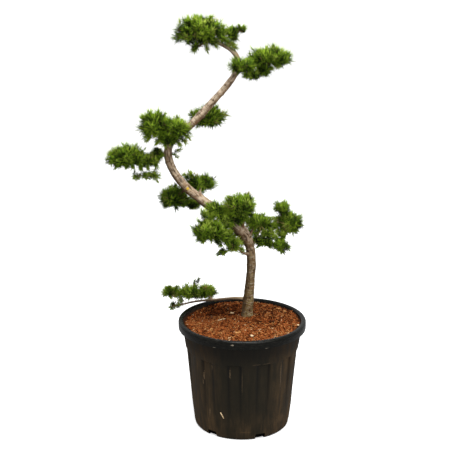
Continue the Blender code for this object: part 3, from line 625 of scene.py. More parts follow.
# %% [markdown]
# ## The compost
#
# The container is filled with bark compost: torn, curly fibres and small chips, rust brown
# to straw, uneven on top, sunk behind on the left and heaped on the right. A displaced disc
# alone would look like painted sand. So the bed is a disc with the right swells, and
# thousands of real fibres and chips are strewn over it. They are made as arrays of points
# and joined into a few meshes, because thousands of objects would be slow.

# %% The bed's swells
COMPOST_TOP = 0.3879
TRUNK_FOOT = (0.018, 0.050)
HOLLOW, HOLLOW_SPREAD = (-0.15, 0.06, 0.018), 0.07  # (x, y, depth) where it has sunk
MOUND, MOUND_SPREAD = (0.13, 0.06, 0.004), 0.06  # (x, y, height) where it is heaped
RIPPLE, RIPPLES_ACROSS, RIPPLES_DEEP, RIPPLE_SHIFT = 0.005, 31, 27, 1.3
BED_RADIUS = 0.2090
LEVEL_ROUND_TRUNK = 0.035  # within this of the trunk the compost keeps its plain height


def compost_height(x, y):
    """The top of the compost, for numbers or arrays."""
    def swell(spot_place, spread):
        return np.exp(-((x - spot_place[0]) ** 2 + (y - spot_place[1]) ** 2) / spread**2)
    waves = np.sin(RIPPLES_ACROSS * x + RIPPLE_SHIFT) * np.cos(RIPPLES_DEEP * y)
    ripple = RIPPLE * (0.5 + 0.5 * waves)
    shift = MOUND[2] * swell(MOUND, MOUND_SPREAD) - HOLLOW[2] * swell(HOLLOW, HOLLOW_SPREAD) - ripple
    from_trunk = np.hypot(x - TRUNK_FOOT[0], y - TRUNK_FOOT[1])
    return COMPOST_TOP + shift * np.clip(from_trunk / LEVEL_ROUND_TRUNK - 1, 0, 1)


# %% Model the bed
BED_STEPS, BED_RINGS = 120, 40
BED_FOOT_RADIUS, BED_FOOT = 0.1605, 0.0046
BED_WALL = ((0.1768, 0.084), (0.1896, 0.2870), (0.1993, 0.2990), (BED_RADIUS, 0.3800))
TOP_OVERLAP = 0.0005  # the rings of the top are this much wider than an even division gives
BED_SUNK = 0.0025  # the bed lies this far under the loose pieces
CRUMB_HEIGHT, CRUMB_SCALE = 0.0022, 110

bpy.ops.object.select_all(action="DESELECT")
bpy.ops.mesh.primitive_circle_add(
    vertices=BED_STEPS, radius=BED_FOOT_RADIUS, fill_type="NGON", location=(0, 0, BED_FOOT))
bed = bpy.context.object
bed.name = "compost_bed"
bpy.ops.object.transform_apply(location=True, rotation=True, scale=True)
bpy.ops.object.mode_set(mode="EDIT")
bpy.ops.mesh.select_mode(type="EDGE")
bpy.ops.mesh.select_all(action="SELECT")
bed_top = [(BED_RADIUS * (1 - k / BED_RINGS) + TOP_OVERLAP, COMPOST_TOP) for k in range(BED_RINGS)]
extrude_rings(BED_FOOT_RADIUS, BED_FOOT, [*BED_WALL, *bed_top])
bpy.ops.mesh.merge(type="CENTER")
bpy.ops.mesh.select_all(action="SELECT")
bpy.ops.mesh.normals_make_consistent(inside=False)
bpy.ops.object.mode_set(mode="OBJECT")
for vertex in bed.data.vertices:
    x, y, z = vertex.co
    if z > COMPOST_TOP - HAIR:
        crumb = noise.noise(Vector((x, y, 0)) * CRUMB_SCALE) * CRUMB_HEIGHT
        vertex.co.z = float(compost_height(x, y)) - BED_SUNK + crumb
take(bed)
bpy.ops.object.shade_smooth()
sunk_to, heaped_to = (float(compost_height(*place[:2])) for place in (HOLLOW, MOUND))
print("bed from", round(sunk_to, 3), "to", round(heaped_to, 3))

# %% Compost colours
COMPOST_TONES = {  # name: (colour, second colour, share of all pieces)
    "compost_umber": ((0.050, 0.012, 0.002), (0.015, 0.005, 0.002), 0.24),
    "compost_rust": ((0.345, 0.090, 0.020), (0.195, 0.045, 0.011), 0.36),
    "compost_amber": ((0.570, 0.200, 0.056), (0.370, 0.108, 0.030), 0.30),
    "compost_straw": ((0.720, 0.400, 0.150), (0.520, 0.240, 0.075), 0.060),
    "compost_cream": ((0.860, 0.660, 0.420), (0.680, 0.470, 0.250), 0.010),
}
FLOOR_DARK, FLOOR_RUST = (0.025, 0.008, 0.003), (0.210, 0.058, 0.014)
FLOOR_DAMP = (0.024, 0.009, 0.004)


def compost_material(name, colour, second):
    """Dull, rough bark in one colour, with patches of a second."""
    material, tree, shader, place = new_material(name, 0.95, 0.08)
    tint = patch_mask(tree, place, (1, 1, 1), 160.0, 0.5, 0.2, 4.0)
    tree.links.new(mixed(tree, tint, colour, second), shader.inputs["Base Color"])
    tree.links.new(bumped(tree, place, (1, 1, 1), 700.0, 0.5, 0.0008), shader.inputs["Normal"])
    return material


compost_materials = [compost_material(n, a, b) for n, (a, b, _) in COMPOST_TONES.items()]

bed_material, tree, shader, place = new_material("compost_floor", 0.95, 0.08)
crumbs = patch_mask(tree, place, (1, 1, 1), 130.0, 0.45, 0.12, 5.0)
damp_and_shade = patch_mask(tree, place, (1, 1, 1), 12.0, 0.45, 0.15)
colour = mixed(tree, crumbs, FLOOR_DARK, FLOOR_RUST)
colour = laid(tree, damp_and_shade, 0.5, colour, FLOOR_DAMP)
tree.links.new(colour, shader.inputs["Base Color"])
tree.links.new(bumped(tree, place, (1, 1, 1), 260.0, 0.9, 0.002), shader.inputs["Normal"])
finished(bed, [bed_material], "bark_compost", "compost")

# %% [markdown]
# ### From arrays to meshes
#
# Three small tools make everything that comes in thousands. One turns arrays of corner points
# and faces into a mesh. One gives each run of points a frame to build across. One lays a
# three-sided or many-sided tube along each of many lines at once, which serves for compost
# fibres now and for twigs later.

# %% Tools for joined meshes
def mesh_from_arrays(name, points, triangles, tones=None):
    """One mesh object from arrays of points, triangles and each triangle's material."""
    mesh = bpy.data.meshes.new(name)
    mesh.vertices.add(len(points))
    mesh.vertices.foreach_set("co", np.asarray(points, np.float32).ravel())
    mesh.loops.add(triangles.size)
    mesh.loops.foreach_set("vertex_index", np.asarray(triangles, np.int32).ravel())
    mesh.polygons.add(len(triangles))
    mesh.polygons.foreach_set("loop_start", np.arange(0, triangles.size, 3, dtype=np.int32))
    if tones is not None:
        mesh.polygons.foreach_set("material_index", np.asarray(tones, np.int32))
    mesh.update(calc_edges=True)
    obj = bpy.data.objects.new(name, mesh)
    bpy.context.scene.collection.objects.link(obj)
    return obj


def unit(arrows):
    """Arrows with the same headings, each one unit long."""
    return arrows / np.maximum(np.linalg.norm(arrows, axis=-1, keepdims=True), 1e-12)


def across(arrows):
    """Two directions square to each arrow and to each other."""
    nearly_upright = np.abs(arrows[..., 2:3]) >= 0.9
    helper = np.where(nearly_upright, (1.0, 0.0, 0.0), (0.0, 0.0, 1.0))
    side = unit(np.cross(arrows, helper))
    return side, np.cross(arrows, side)


# %% Tubes along many lines at once
def tubes(lines, radii, sides):
    """Closed tubes along lines, an array (tube, point, xyz), with a radius for each point."""
    count, steps = lines.shape[:2]
    along = np.gradient(lines, axis=1)
    side, up = across(unit(along))
    turn = np.arange(sides) * math.tau / sides
    ring = (side[:, :, None] * np.cos(turn)[:, None] + up[:, :, None] * np.sin(turn)[:, None])
    points = lines[:, :, None] + ring * radii[:, :, None, None]
    k, n = np.meshgrid(np.arange(steps - 1), np.arange(sides), indexing="ij")
    a, b = k * sides + n, k * sides + (n + 1) % sides
    c, d = a + sides, b + sides
    walls = np.stack([np.stack([a, b, d], -1), np.stack([a, d, c], -1)], 2).reshape(-1, 3)
    fan = np.array([(0, n + 1, n) for n in range(1, sides - 1)])
    caps = np.concatenate([fan, fan[:, ::-1] + (steps - 1) * sides])
    faces = np.concatenate([walls, caps])
    shift = np.arange(count)[:, None, None] * steps * sides
    return points.reshape(-1, 3), (faces + shift).reshape(-1, 3), len(faces)


# %% [markdown]
# ### Loose pieces
#
# Fibres and chips are strewn at random, and each draws a tone by the compost's shares. Under the
# back of the rim and around the trunk, where shade falls, more of them turn umber or rust: this
# is painted shade. The few large pale chips that catch the eye have places of their own, and
# one straw clings to the wall.

# %% Where loose pieces lie, and what tone they get
TRUNK_CLEAR = 0.0225  # loose pieces keep this far from the trunk's middle
WALL_CLEAR = 0.006
UMBER, RUST, AMBER, STRAW, CREAM = range(len(COMPOST_TONES))
SHADE_AND_RUST = 1.35  # pieces that the painted shade turns umber or rust, for each that it turns umber
# Spots of painted shade, under the back of the rim and around the trunk.
SHADE_SPOTS = (  # (x, y, width, depth, share darkened)
    (-0.080, 0.110, 0.080, 0.060, 0.72), (-0.020, 0.060, 0.050, 0.030, 0.60),
    (0.080, 0.020, 0.075, 0.050, 0.34), (0.150, 0.110, 0.060, 0.050, 0.40),
)
dice = np.random.default_rng(50)


def strewn(count):
    """Random places on the bed, clear of the trunk."""
    radius = (BED_RADIUS - WALL_CLEAR) * np.sqrt(dice.uniform(0, 1, count))
    turn = dice.uniform(0, math.tau, count)
    x, y = radius * np.cos(turn), radius * np.sin(turn)
    keep = np.hypot(x - TRUNK_FOOT[0], y - TRUNK_FOOT[1]) > TRUNK_CLEAR
    return np.stack([x[keep], y[keep], compost_height(x[keep], y[keep])], -1)


def dealt(places):
    """A tone for the piece at each place, by the tones' shares, and darker in the spots of painted
    shade.
    """
    shares = np.array([share for _, _, share in COMPOST_TONES.values()])
    tones = dice.choice(len(shares), len(places), p=shares / shares.sum())
    damp_and_shade = np.zeros(len(places))
    for x, y, wide, deep, most in SHADE_SPOTS:
        off = ((places[:, 0] - x) / wide) ** 2 + ((places[:, 1] - y) / deep) ** 2
        damp_and_shade = np.maximum(damp_and_shade, most * np.exp(-off))
    chance = dice.uniform(0, 1, len(places))
    return np.where(chance < damp_and_shade, UMBER, np.where(chance < SHADE_AND_RUST * damp_and_shade, RUST, tones))


print("damp spots:", len(SHADE_SPOTS))

# %% Strew the fibres
FIBRES = 6800
FIBRE_PROFILE = np.array([0.4, 0.9, 1.0, 1.0, 0.85, 0.35])  # its thickness from end to end
FIBRE_THICKNESS = (0.0004, 0.0011)
FIBRE_LENGTH = (0.006, 0.020)
FIBRE_BEND = (0.0025, 0.011)  # the radius it is curled to
MOST_CURLED = 4.5  # radians
FIBRE_TILT = 0.35
FIBRE_LIFT = (-0.0015, 0.0030)
FIBRE_WALL_GAP = 0.0015
OVER_LIP = 0.004  # the highest fibre stands this far over the container's lip

middles = strewn(FIBRES)
count = len(middles)
bend_radius = dice.uniform(*FIBRE_BEND, count)
curl = np.minimum(dice.uniform(*FIBRE_LENGTH, count) / bend_radius, MOST_CURLED)
begin = dice.uniform(0, math.tau, count)
turn = begin[:, None] + np.linspace(-0.5, 0.5, len(FIBRE_PROFILE)) * curl[:, None]
arc = np.stack([np.cos(turn), np.sin(turn)], -1) * bend_radius[:, None, None]
arc -= arc.mean(axis=1, keepdims=True)
lean = dice.normal(0, FIBRE_TILT, (count, 2))
rise = (arc * lean[:, None]).sum(-1) + dice.uniform(*FIBRE_LIFT, count)[:, None]
lines = middles[:, None] + np.concatenate([arc, rise[..., None]], -1)
thick = dice.uniform(*FIBRE_THICKNESS, count)[:, None] * FIBRE_PROFILE
furthest_out = np.hypot(lines[..., 0], lines[..., 1]).max(axis=1)
inside = furthest_out < BED_RADIUS - FIBRE_WALL_GAP
lines, thick = lines[inside], thick[inside]
lines[..., 2] = np.minimum(lines[..., 2], POT_HEIGHT + OVER_LIP)
at_back = lines[:, 0, 1] > 0
for name, half in {"compost_fibres_back": at_back, "compost_fibres_front": ~at_back}.items():
    points, faces, each = tubes(lines[half], thick[half], 3)
    fibres = mesh_from_arrays(name, points, faces, np.repeat(dealt(lines[half][:, 0]), each))
    finished(fibres, compost_materials, "bark_compost")

# %% Strew the chips
CHIPS = 4200
CHIP_LENGTH, CHIP_WIDTH, CHIP_THICKNESS = (0.003, 0.0105), (0.002, 0.0055), (0.0008, 0.0024)
CHIP_UNEVEN = (0.55, 1.15)  # each corner is pulled in or out by a share between these
CHIP_TILT = 0.35
CHIP_LIFT = 0.0004
CHIP_WALL_GAP = 0.0008
CHIP_FACES = np.array([(0, 2, 1), (1, 2, 3), (4, 5, 6), (5, 7, 6), (0, 1, 4), (1, 5, 4),
                       (2, 6, 3), (3, 6, 7), (0, 4, 2), (2, 4, 6), (1, 3, 5), (3, 7, 5)])
CORNERS = np.array([(x, y, z) for z in (-1, 1) for y in (-1, 1) for x in (-1, 1)]) * 0.5


def chip_points(middles, sizes):
    """Eight uneven corners for each chip, turned at random and tipped a little."""
    count = len(middles)
    shapes = CORNERS * sizes[:, None] * dice.uniform(*CHIP_UNEVEN, (count, *CORNERS.shape))
    yaw, pitch, roll = dice.uniform(0, math.tau, count), *dice.normal(0, CHIP_TILT, (2, count))
    heading = np.stack([np.cos(yaw) * np.cos(pitch), np.sin(yaw) * np.cos(pitch), np.sin(pitch)], -1)
    side, up = across(heading)
    side, up = (side * np.cos(roll)[:, None] + up * np.sin(roll)[:, None],
                up * np.cos(roll)[:, None] - side * np.sin(roll)[:, None])
    axes = np.stack([heading, side, up], 1)
    return middles[:, None] + np.einsum("nck,nkd->ncd", shapes, axes)


middles = strewn(CHIPS)
spans = (CHIP_LENGTH, CHIP_WIDTH, CHIP_THICKNESS)
sizes = np.stack([dice.uniform(*span, len(middles)) for span in spans], -1)
points = chip_points(middles + (0, 0, CHIP_LIFT), sizes)
points = points[np.hypot(points[..., 0], points[..., 1]).max(axis=1) < BED_RADIUS - CHIP_WALL_GAP]
shift = np.arange(len(points))[:, None, None] * len(CORNERS)
chips = mesh_from_arrays("compost_chips", points.reshape(-1, 3), (CHIP_FACES + shift).reshape(-1, 3),
                         np.repeat(dealt(points[:, 0]), len(CHIP_FACES)))
finished(chips, compost_materials, "bark_compost")

# %% Larger chips with places of their own
LARGE_CHIPS = (  # (x, y, length, width, thickness, heading in degrees, tone)
    (-0.075, 0.012, 0.030, 0.0060, 0.0022, 38, CREAM),
    (-0.068, 0.016, 0.018, 0.0040, 0.0020, 25, CREAM),
    (-0.016, -0.124, 0.020, 0.0085, 0.0030, 12, STRAW),
    (0.032, -0.152, 0.011, 0.0100, 0.0040, 50, CREAM),
    (0.198, -0.046, 0.010, 0.0080, 0.0040, 70, CREAM),
    (-0.037, -0.113, 0.014, 0.0070, 0.0030, -20, UMBER),
    (0.138, 0.122, 0.024, 0.0050, 0.0030, -35, STRAW),
    (0.158, 0.085, 0.020, 0.0045, 0.0030, -60, STRAW),
    (0.105, -0.020, 0.019, 0.0080, 0.0035, 10, UMBER),
    (0.112, 0.060, 0.017, 0.0080, 0.0035, 140, UMBER),
    (-0.110, -0.080, 0.015, 0.0060, 0.0025, 60, STRAW),
    (-0.035, 0.075, 0.014, 0.0060, 0.0025, -10, CREAM),
    (0.060, -0.105, 0.016, 0.0055, 0.0025, 100, STRAW),
    (-0.150, -0.020, 0.016, 0.0060, 0.0030, -50, STRAW),
)
STRAW_ON_WALL = ((-0.0775, -0.1666, 0.1062), (-0.0659, -0.1692, 0.0840))
STRAW_WIDTH, STRAW_THICKNESS = 0.0046, 0.0010
LARGE_LIFT, LARGE_TILT, LARGE_UNEVEN = 0.0022, 0.15, (0.7, 1.1)

large_points, large_tones = [], []
for x, y, long, wide, thick, heading, tone in LARGE_CHIPS:
    height = float(compost_height(np.float64(x), np.float64(y))) + LARGE_LIFT
    turn = Matrix.Rotation(math.radians(heading), 3, "Z") @ Matrix.Rotation(LARGE_TILT, 3, "X")
    shape = CORNERS * (long, wide, thick) * dice.uniform(*LARGE_UNEVEN, CORNERS.shape)
    large_points.append([Vector((x, y, height)) + turn @ Vector(corner) for corner in shape])
    large_tones.append(tone)

head, foot = (np.array(end) for end in STRAW_ON_WALL)
long = np.linalg.norm(foot - head)
along = (foot - head) / long
outward = unit((head + foot) * (1, 1, 0))
outward = unit(outward - along * outward.dot(along))
axes = np.array([along * long, np.cross(outward, along) * STRAW_WIDTH, outward * STRAW_THICKNESS])
straw_shape = CORNERS * (1, dice.uniform(0.8, 1), 1)
large_points.append((head + foot) / 2 + straw_shape @ axes)
large_tones.append(CREAM)
shift = np.arange(len(large_points))[:, None, None] * len(CORNERS)
large = mesh_from_arrays("compost_large_chips", np.array(large_points).reshape(-1, 3),
                         (CHIP_FACES + shift).reshape(-1, 3), np.repeat(large_tones, len(CHIP_FACES)))
finished(large, compost_materials, "bark_compost")

# %% [markdown]
# ## Trunk and boughs
#
# The trunk is a limb that has been wired into bends and pruned for years. It tapers slowly,
# swells at its bends and where a bough leaves, and its bark is thin: grey and flaky low down,
# smooth and silvery with red-brown scars higher up. Each limb starts as a tube along its own
# line. The tubes are joined and remeshed into one skin, so that every bough grows out of
# the trunk with a soft collar. The bark's relief is then raised in code, point by point,
# because it has to follow each limb round its bends, which a plain texture can't.

# %% The limbs' middle lines
TRUNK_LINE = (  # (x, y, z, radius)
    (0.018, 0.050, 0.3880, 0.0216), (0.027, 0.038, 0.5000, 0.0176),
    (0.032, 0.012, 0.6180, 0.0163), (0.015, -0.010, 0.7000, 0.0165),
    (-0.023, -0.022, 0.7490, 0.0184), (-0.112, -0.016, 0.8150, 0.0168),
    (-0.191, -0.004, 0.8760, 0.0154), (-0.243, 0.007, 0.9420, 0.0145),
    (-0.257, 0.012, 1.0010, 0.0138), (-0.238, 0.011, 1.0550, 0.0137),
    (-0.181, 0.004, 1.0940, 0.0132), (-0.094, -0.007, 1.1880, 0.0123),
    (-0.032, -0.012, 1.2640, 0.0110), (-0.018, -0.012, 1.3120, 0.0098),
    (-0.039, -0.009, 1.3510, 0.0082), (-0.108, -0.004, 1.3880, 0.0055),
)
TRUNK_SECTIONS = ("trunk_foot", "trunk_low_bend", "trunk_middle", "trunk_high_bend", "trunk_upper",
                  "trunk_leader")
ROOT_FLARE, ROOT_FLARE_HEIGHT = 0.0022, 0.022
BOUGHS = {  # name: (radius at root and tip, points)
    "bough_low": (0.0062, 0.0036, (
        (0.022, 0.044, 0.452), (-0.021, 0.058, 0.452), (-0.095, 0.107, 0.428),
        (-0.170, 0.158, 0.4030), (-0.225, 0.176, 0.3840))),
    "bough_low_right": (0.0036, 0.0026, (
        (-0.105, 0.114, 0.425), (-0.118, 0.130, 0.431), (-0.128, 0.144, 0.437))),
    "bough_front_sprig": (0.0062, 0.0034, (
        (0.031, 0.006, 0.634), (0.006, -0.022, 0.646), (-0.010, -0.036, 0.662))),
    "bough_right_long": (0.0075, 0.0042, (
        (0.029, 0.008, 0.642), (0.052, 0.026, 0.706), (0.092, 0.040, 0.731), (0.126, 0.038, 0.740))),
    "bough_right_low": (0.0036, 0.0026, (
        (0.094, 0.040, 0.732), (0.110, 0.026, 0.706), (0.120, 0.016, 0.688))),
    "bough_right_under": (0.0036, 0.0026, (
        (0.042, 0.019, 0.683), (0.051, 0.018, 0.682), (0.060, 0.018, 0.680))),
    "bough_right_inner": (0.0062, 0.0040, (
        (0.019, -0.006, 0.686), (0.036, 0.008, 0.724), (0.042, 0.018, 0.738))),
    "bough_front_top": (0.0080, 0.0048, (
        (-0.004, -0.017, 0.728), (0.001, -0.044, 0.772), (-0.004, -0.052, 0.796))),
    "bough_front_low": (0.0070, 0.0042, (
        (-0.045, -0.022, 0.768), (-0.062, -0.046, 0.757), (-0.076, -0.060, 0.748))),
    "bough_back_left": (0.0072, 0.0042, (
        (-0.186, -0.005, 0.871), (-0.206, 0.030, 0.860), (-0.222, 0.052, 0.842))),
    "bough_back_right": (0.0068, 0.0042, (
        (-0.150, -0.010, 0.844), (-0.148, 0.026, 0.856), (-0.147, 0.056, 0.865))),
    "bough_far_left": (0.0070, 0.0040, (
        (-0.257, 0.012, 0.998), (-0.286, 0.010, 0.990), (-0.312, 0.004, 0.980))),
    "bough_far_sprig": (0.0030, 0.0022, (
        (-0.284, 0.010, 0.9905), (-0.297, 0.002, 0.955), (-0.311, -0.004, 0.928))),
    "bough_bend_left": (0.0078, 0.0050, (
        (-0.250, 0.012, 1.035), (-0.270, 0.000, 1.064), (-0.282, -0.010, 1.080))),
    "bough_upper_back": (0.0062, 0.0042, (
        (-0.145, -0.001, 1.133), (-0.136, 0.030, 1.120), (-0.129, 0.056, 1.112))),
    "bough_upper_right": (0.0062, 0.0038, (
        (-0.027, -0.012, 1.284), (0.014, -0.012, 1.285), (0.052, -0.015, 1.308))),
}


def on_spline(points, t):
    """The smooth line through points, at t counted in points from the first one."""
    last = len(points) - 1
    i = min(int(t), last - 1)
    s = t - i
    p1, p2 = np.array(points[i]), np.array(points[i + 1])
    p0 = np.array(points[i - 1]) if i else 2 * p1 - p2
    p3 = np.array(points[i + 2]) if i + 2 <= last else 2 * p2 - p1
    return 0.5 * (2 * p1 + (p2 - p0) * s + (2 * p0 - 5 * p1 + 4 * p2 - p3) * s**2
                  + (3 * p1 - p0 - 3 * p2 + p3) * s**3)


# %% Sample each limb closely
SAMPLES_APART = 0.003
ROUGH_STEPS = 400
FEWEST_SAMPLES = 4


def limb_samples(points):
    """An array of (x, y, z, radius) along a limb, evenly spaced."""
    rough = np.array([on_spline(points, t) for t in np.linspace(0, len(points) - 1, ROUGH_STEPS)])
    steps = np.linalg.norm(np.diff(rough[:, :3], axis=0), axis=1)
    run = np.concatenate([[0], np.cumsum(steps)])
    even = np.linspace(0, run[-1], max(FEWEST_SAMPLES, round(run[-1] / SAMPLES_APART)))
    return np.stack([np.interp(even, run, rough[:, k]) for k in range(4)], -1)


def tapered(root, tip, points):
    """A bough's points, each with its radius between those of the root and the tip."""
    last = len(points) - 1
    return [(*p, root + (tip - root) * k / last) for k, p in enumerate(points)]


limbs = {"trunk": limb_samples(TRUNK_LINE)}
for name, (root, tip, points) in BOUGHS.items():
    limbs[name] = limb_samples(tapered(root, tip, points))
flare = np.clip(1 - (limbs["trunk"][:, 2] - COMPOST_TOP) / ROOT_FLARE_HEIGHT, 0, 1)
limbs["trunk"][:, 3] += ROOT_FLARE * flare**2
print("limb samples:", sum(map(len, limbs.values())))

# %% Tubes, joined and remeshed into one skin
SKIN_VOXEL = 0.00155
SKIN_SMOOTHING, SMOOTHING_PASSES = 0.5, 4
TRUNK_ROUNDNESS, BOUGH_ROUNDNESS = 6, 3
BURIED = 0.014  # the trunk goes on this far down into the compost


def limb_curve(name, samples, roundness):
    """A capped tube through the samples."""
    curve = bpy.data.curves.new(name, "CURVE")
    curve.dimensions = "3D"
    curve.bevel_depth = 1.0
    curve.bevel_resolution = roundness
    curve.use_fill_caps = True
    spline = curve.splines.new("POLY")
    spline.points.add(len(samples) - 1)
    for point, (x, y, z, radius) in zip(spline.points, samples):
        point.co = (x, y, z, 1.0)
        point.radius = radius
    obj = bpy.data.objects.new(name, curve)
    bpy.context.scene.collection.objects.link(obj)
    return obj


bpy.ops.object.select_all(action="DESELECT")
for name, samples in limbs.items():
    if name == "trunk":
        below = samples[0] - (0, 0, BURIED, 0)
        samples = np.concatenate([[below], samples])
    roundness = TRUNK_ROUNDNESS if name == "trunk" else BOUGH_ROUNDNESS
    tube = limb_curve(name, samples, roundness)
    tube.select_set(True)
    bpy.context.view_layer.objects.active = tube
bpy.ops.object.convert(target="MESH")
bpy.ops.object.join()
skin = bpy.context.object
skin.name = "bark_skin"
applied(skin, "REMESH", mode="VOXEL", voxel_size=SKIN_VOXEL, use_smooth_shade=True)
applied(skin, "SMOOTH", factor=SKIN_SMOOTHING, iterations=SMOOTHING_PASSES)
print("skin:", len(skin.data.polygons), "faces")

# %% [markdown]
# ### The bark's own coordinates
#
# For each point of the skin, the nearest sample of a limb's line is found. It tells how far
# along the limb the point is, and on which side of it. These make straightened coordinates:
# as if each limb had been laid out along one axis. The relief and the colours both read
# them, so that cracks run along the limb and scars run across it, round every bend.

# %% Scars and swellings, and a frame along each limb
SCARS = (  # (place along the trunk in points, degrees round from the front, width, height)
    (0.27, 22, 0.0085, 0.0022), (1.30, -40, 0.0060, 0.0012), (2.42, -35, 0.0095, 0.0022),
    (3.05, 50, 0.0070, 0.0014), (3.62, 170, 0.0110, 0.0018), (5.10, 92, 0.0060, 0.0024),
    (5.55, -30, 0.0055, 0.0014), (5.98, -22, 0.0060, 0.0020), (6.72, -28, 0.0070, 0.0026),
    (7.05, 84, 0.0060, 0.0026), (7.40, -70, 0.0060, 0.0020), (9.55, 165, 0.0065, 0.0014),
    (10.55, -60, 0.0055, 0.0020), (10.95, -15, 0.0062, 0.0022), (11.25, 75, 0.0050, 0.0022),
    (11.55, -30, 0.0058, 0.0024), (12.60, 20, 0.0050, 0.0014), (13.40, -40, 0.0045, 0.0014),
)
SWELLINGS = (  # broad ones with no scar, where boughs leave inside the clouds
    (3.05, -80, 0.022, 0.0035), (3.45, -75, 0.024, 0.0060), (3.90, -90, 0.020, 0.0030),
)
PALE_LIMBS = {"bough_low": 0.7, "bough_low_right": 0.4}  # and how pale each one is
PALE_LENGTH = 0.16
LIMB_SHIFT = 1.7  # each limb starts this much further along the bark's pattern than the last
SHADED_WAY = np.array((-0.85, 0.10, -0.50))  # low on the trunk, the bark gets painted shade on this side
LIT_SIDE_PALE_WAY = np.array((-0.75, -0.20, 0.63))  # high on the trunk, it gets painted light on this side
SHADE_TOP = 1.02  # where the one ends and the other begins


def limb_frames(samples):
    """The run along a limb, and its direction and two sides at each sample."""
    middle = samples[:, :3]
    along = unit(np.gradient(middle, axis=0))
    side = np.zeros_like(along)
    first = np.cross(along[0], (0.0, -1.0, 0.0))
    side[0] = unit(first if np.linalg.norm(first) > 0.2 else np.cross(along[0], (1.0, 0.0, 0.0)))
    for k in range(1, len(samples)):
        side[k] = unit(side[k - 1] - along[k] * side[k - 1].dot(along[k]))
    steps = np.linalg.norm(np.diff(middle, axis=0), axis=1)
    return np.concatenate([[0], np.cumsum(steps)]), along, side, np.cross(along, side)


def search_tree(chosen):
    """A quick nearest-point search over the samples of some limbs, and whose each sample is."""
    owners = [(name, k) for name in chosen for k in range(len(limbs[name]))]
    found = kdtree.KDTree(len(owners))
    for n, (name, k) in enumerate(owners):
        found.insert(limbs[name][k, :3], n)
    found.balance()
    return found, owners


# %% Find each point's place on its own limb
frames = {name: limb_frames(samples) for name, samples in limbs.items()}
names = list(limbs)
searches = [search_tree(names[:1]), search_tree(names[1:])]

skin_points = np.zeros(len(skin.data.vertices) * 3)
skin.data.vertices.foreach_get("co", skin_points)
skin_points = skin_points.reshape(-1, 3)
skin_normals = np.zeros_like(skin_points).ravel()
skin.data.vertices.foreach_get("normal", skin_normals)
skin_normals = skin_normals.reshape(-1, 3)

owner_limb = np.zeros(len(skin_points), int)
owner_sample = np.zeros(len(skin_points), int)
for n, point in enumerate(skin_points):
    nearest = math.inf
    for found, owners in searches:
        _, which, distance = found.find(point)
        name, k = owners[which]
        if distance - limbs[name][k, 3] < nearest:
            nearest = distance - limbs[name][k, 3]
            owner_limb[n], owner_sample[n] = names.index(name), k

straight = np.zeros_like(skin_points)
pale = np.zeros(len(skin_points))
for index, name in enumerate(names):
    mine = owner_limb == index
    sample = owner_sample[mine]
    run, along, side, up = frames[name]
    away = skin_points[mine] - limbs[name][sample, :3]
    straight[mine, 0] = (away * side[sample]).sum(-1)
    straight[mine, 1] = (away * up[sample]).sum(-1)
    straight[mine, 2] = run[sample] + (away * along[sample]).sum(-1) + index * LIMB_SHIFT
    if name in PALE_LIMBS:
        pale[mine] = PALE_LIMBS[name] * np.clip(1.15 - run[sample] / PALE_LENGTH, 0, 1)
print("points owned by the trunk:", int((owner_limb == 0).sum()))

# %% Raise the relief
LOW_BARK = 0.30  # flaky bark reaches this far up the trunk, fading out
FLAKY_HIGH_UP, FLAKY_BOUGHS = 0.15, 0.25
LUMPS, KNOBS = (38, 24, 0), (110, 75, 9)  # (how fine across the limb, along it, shift)
CRACKS, BANDS = (250, 60, 3), (60, 420, 5)
LUMP_HEIGHT, KNOB_HEIGHT, CRACK_DEPTH, BAND_HEIGHT = 0.0015, 0.0009, 0.0022, 0.0003
FULL_RELIEF = 0.016  # the relief is whole on a limb of this radius, and less on a thinner one
SCAR_RIM, SCAR_PIT, SCAR_COLOUR = 1.6, 9, 1.8  # how fast each fades out from a scar's middle
PIT_SHARE = 0.75
COLLAR_SAMPLE, COLLAR_REACH, COLLAR_HEIGHT, COLLAR_RADIUS = 4, 0.016, 0.0016, 0.014
UNDER_TOP = 0.002  # the skin stays this far under the top of the frame's box


def scar_centre(t, degrees):
    """A place on the trunk's bark, by its place along the line and its turn from the front."""
    here = on_spline(TRUNK_LINE, t)
    ahead = on_spline(TRUNK_LINE, min(t + 0.02, len(TRUNK_LINE) - 1))
    along = unit(ahead[:3] - here[:3])
    front = np.array((0.0, -1.0, 0.0))
    front = unit(front - along * front.dot(along))
    right = np.cross(along, front)
    turn = math.radians(degrees)
    return here[:3] + (front * math.cos(turn) + right * math.sin(turn)) * here[3]


def bark_noise(place, fine_across, fine_along, shift):
    """Smooth noise at a place in the straightened coordinates."""
    x, y, z = place
    return noise.noise(Vector((x * fine_across, y * fine_across, z * fine_along + shift)))


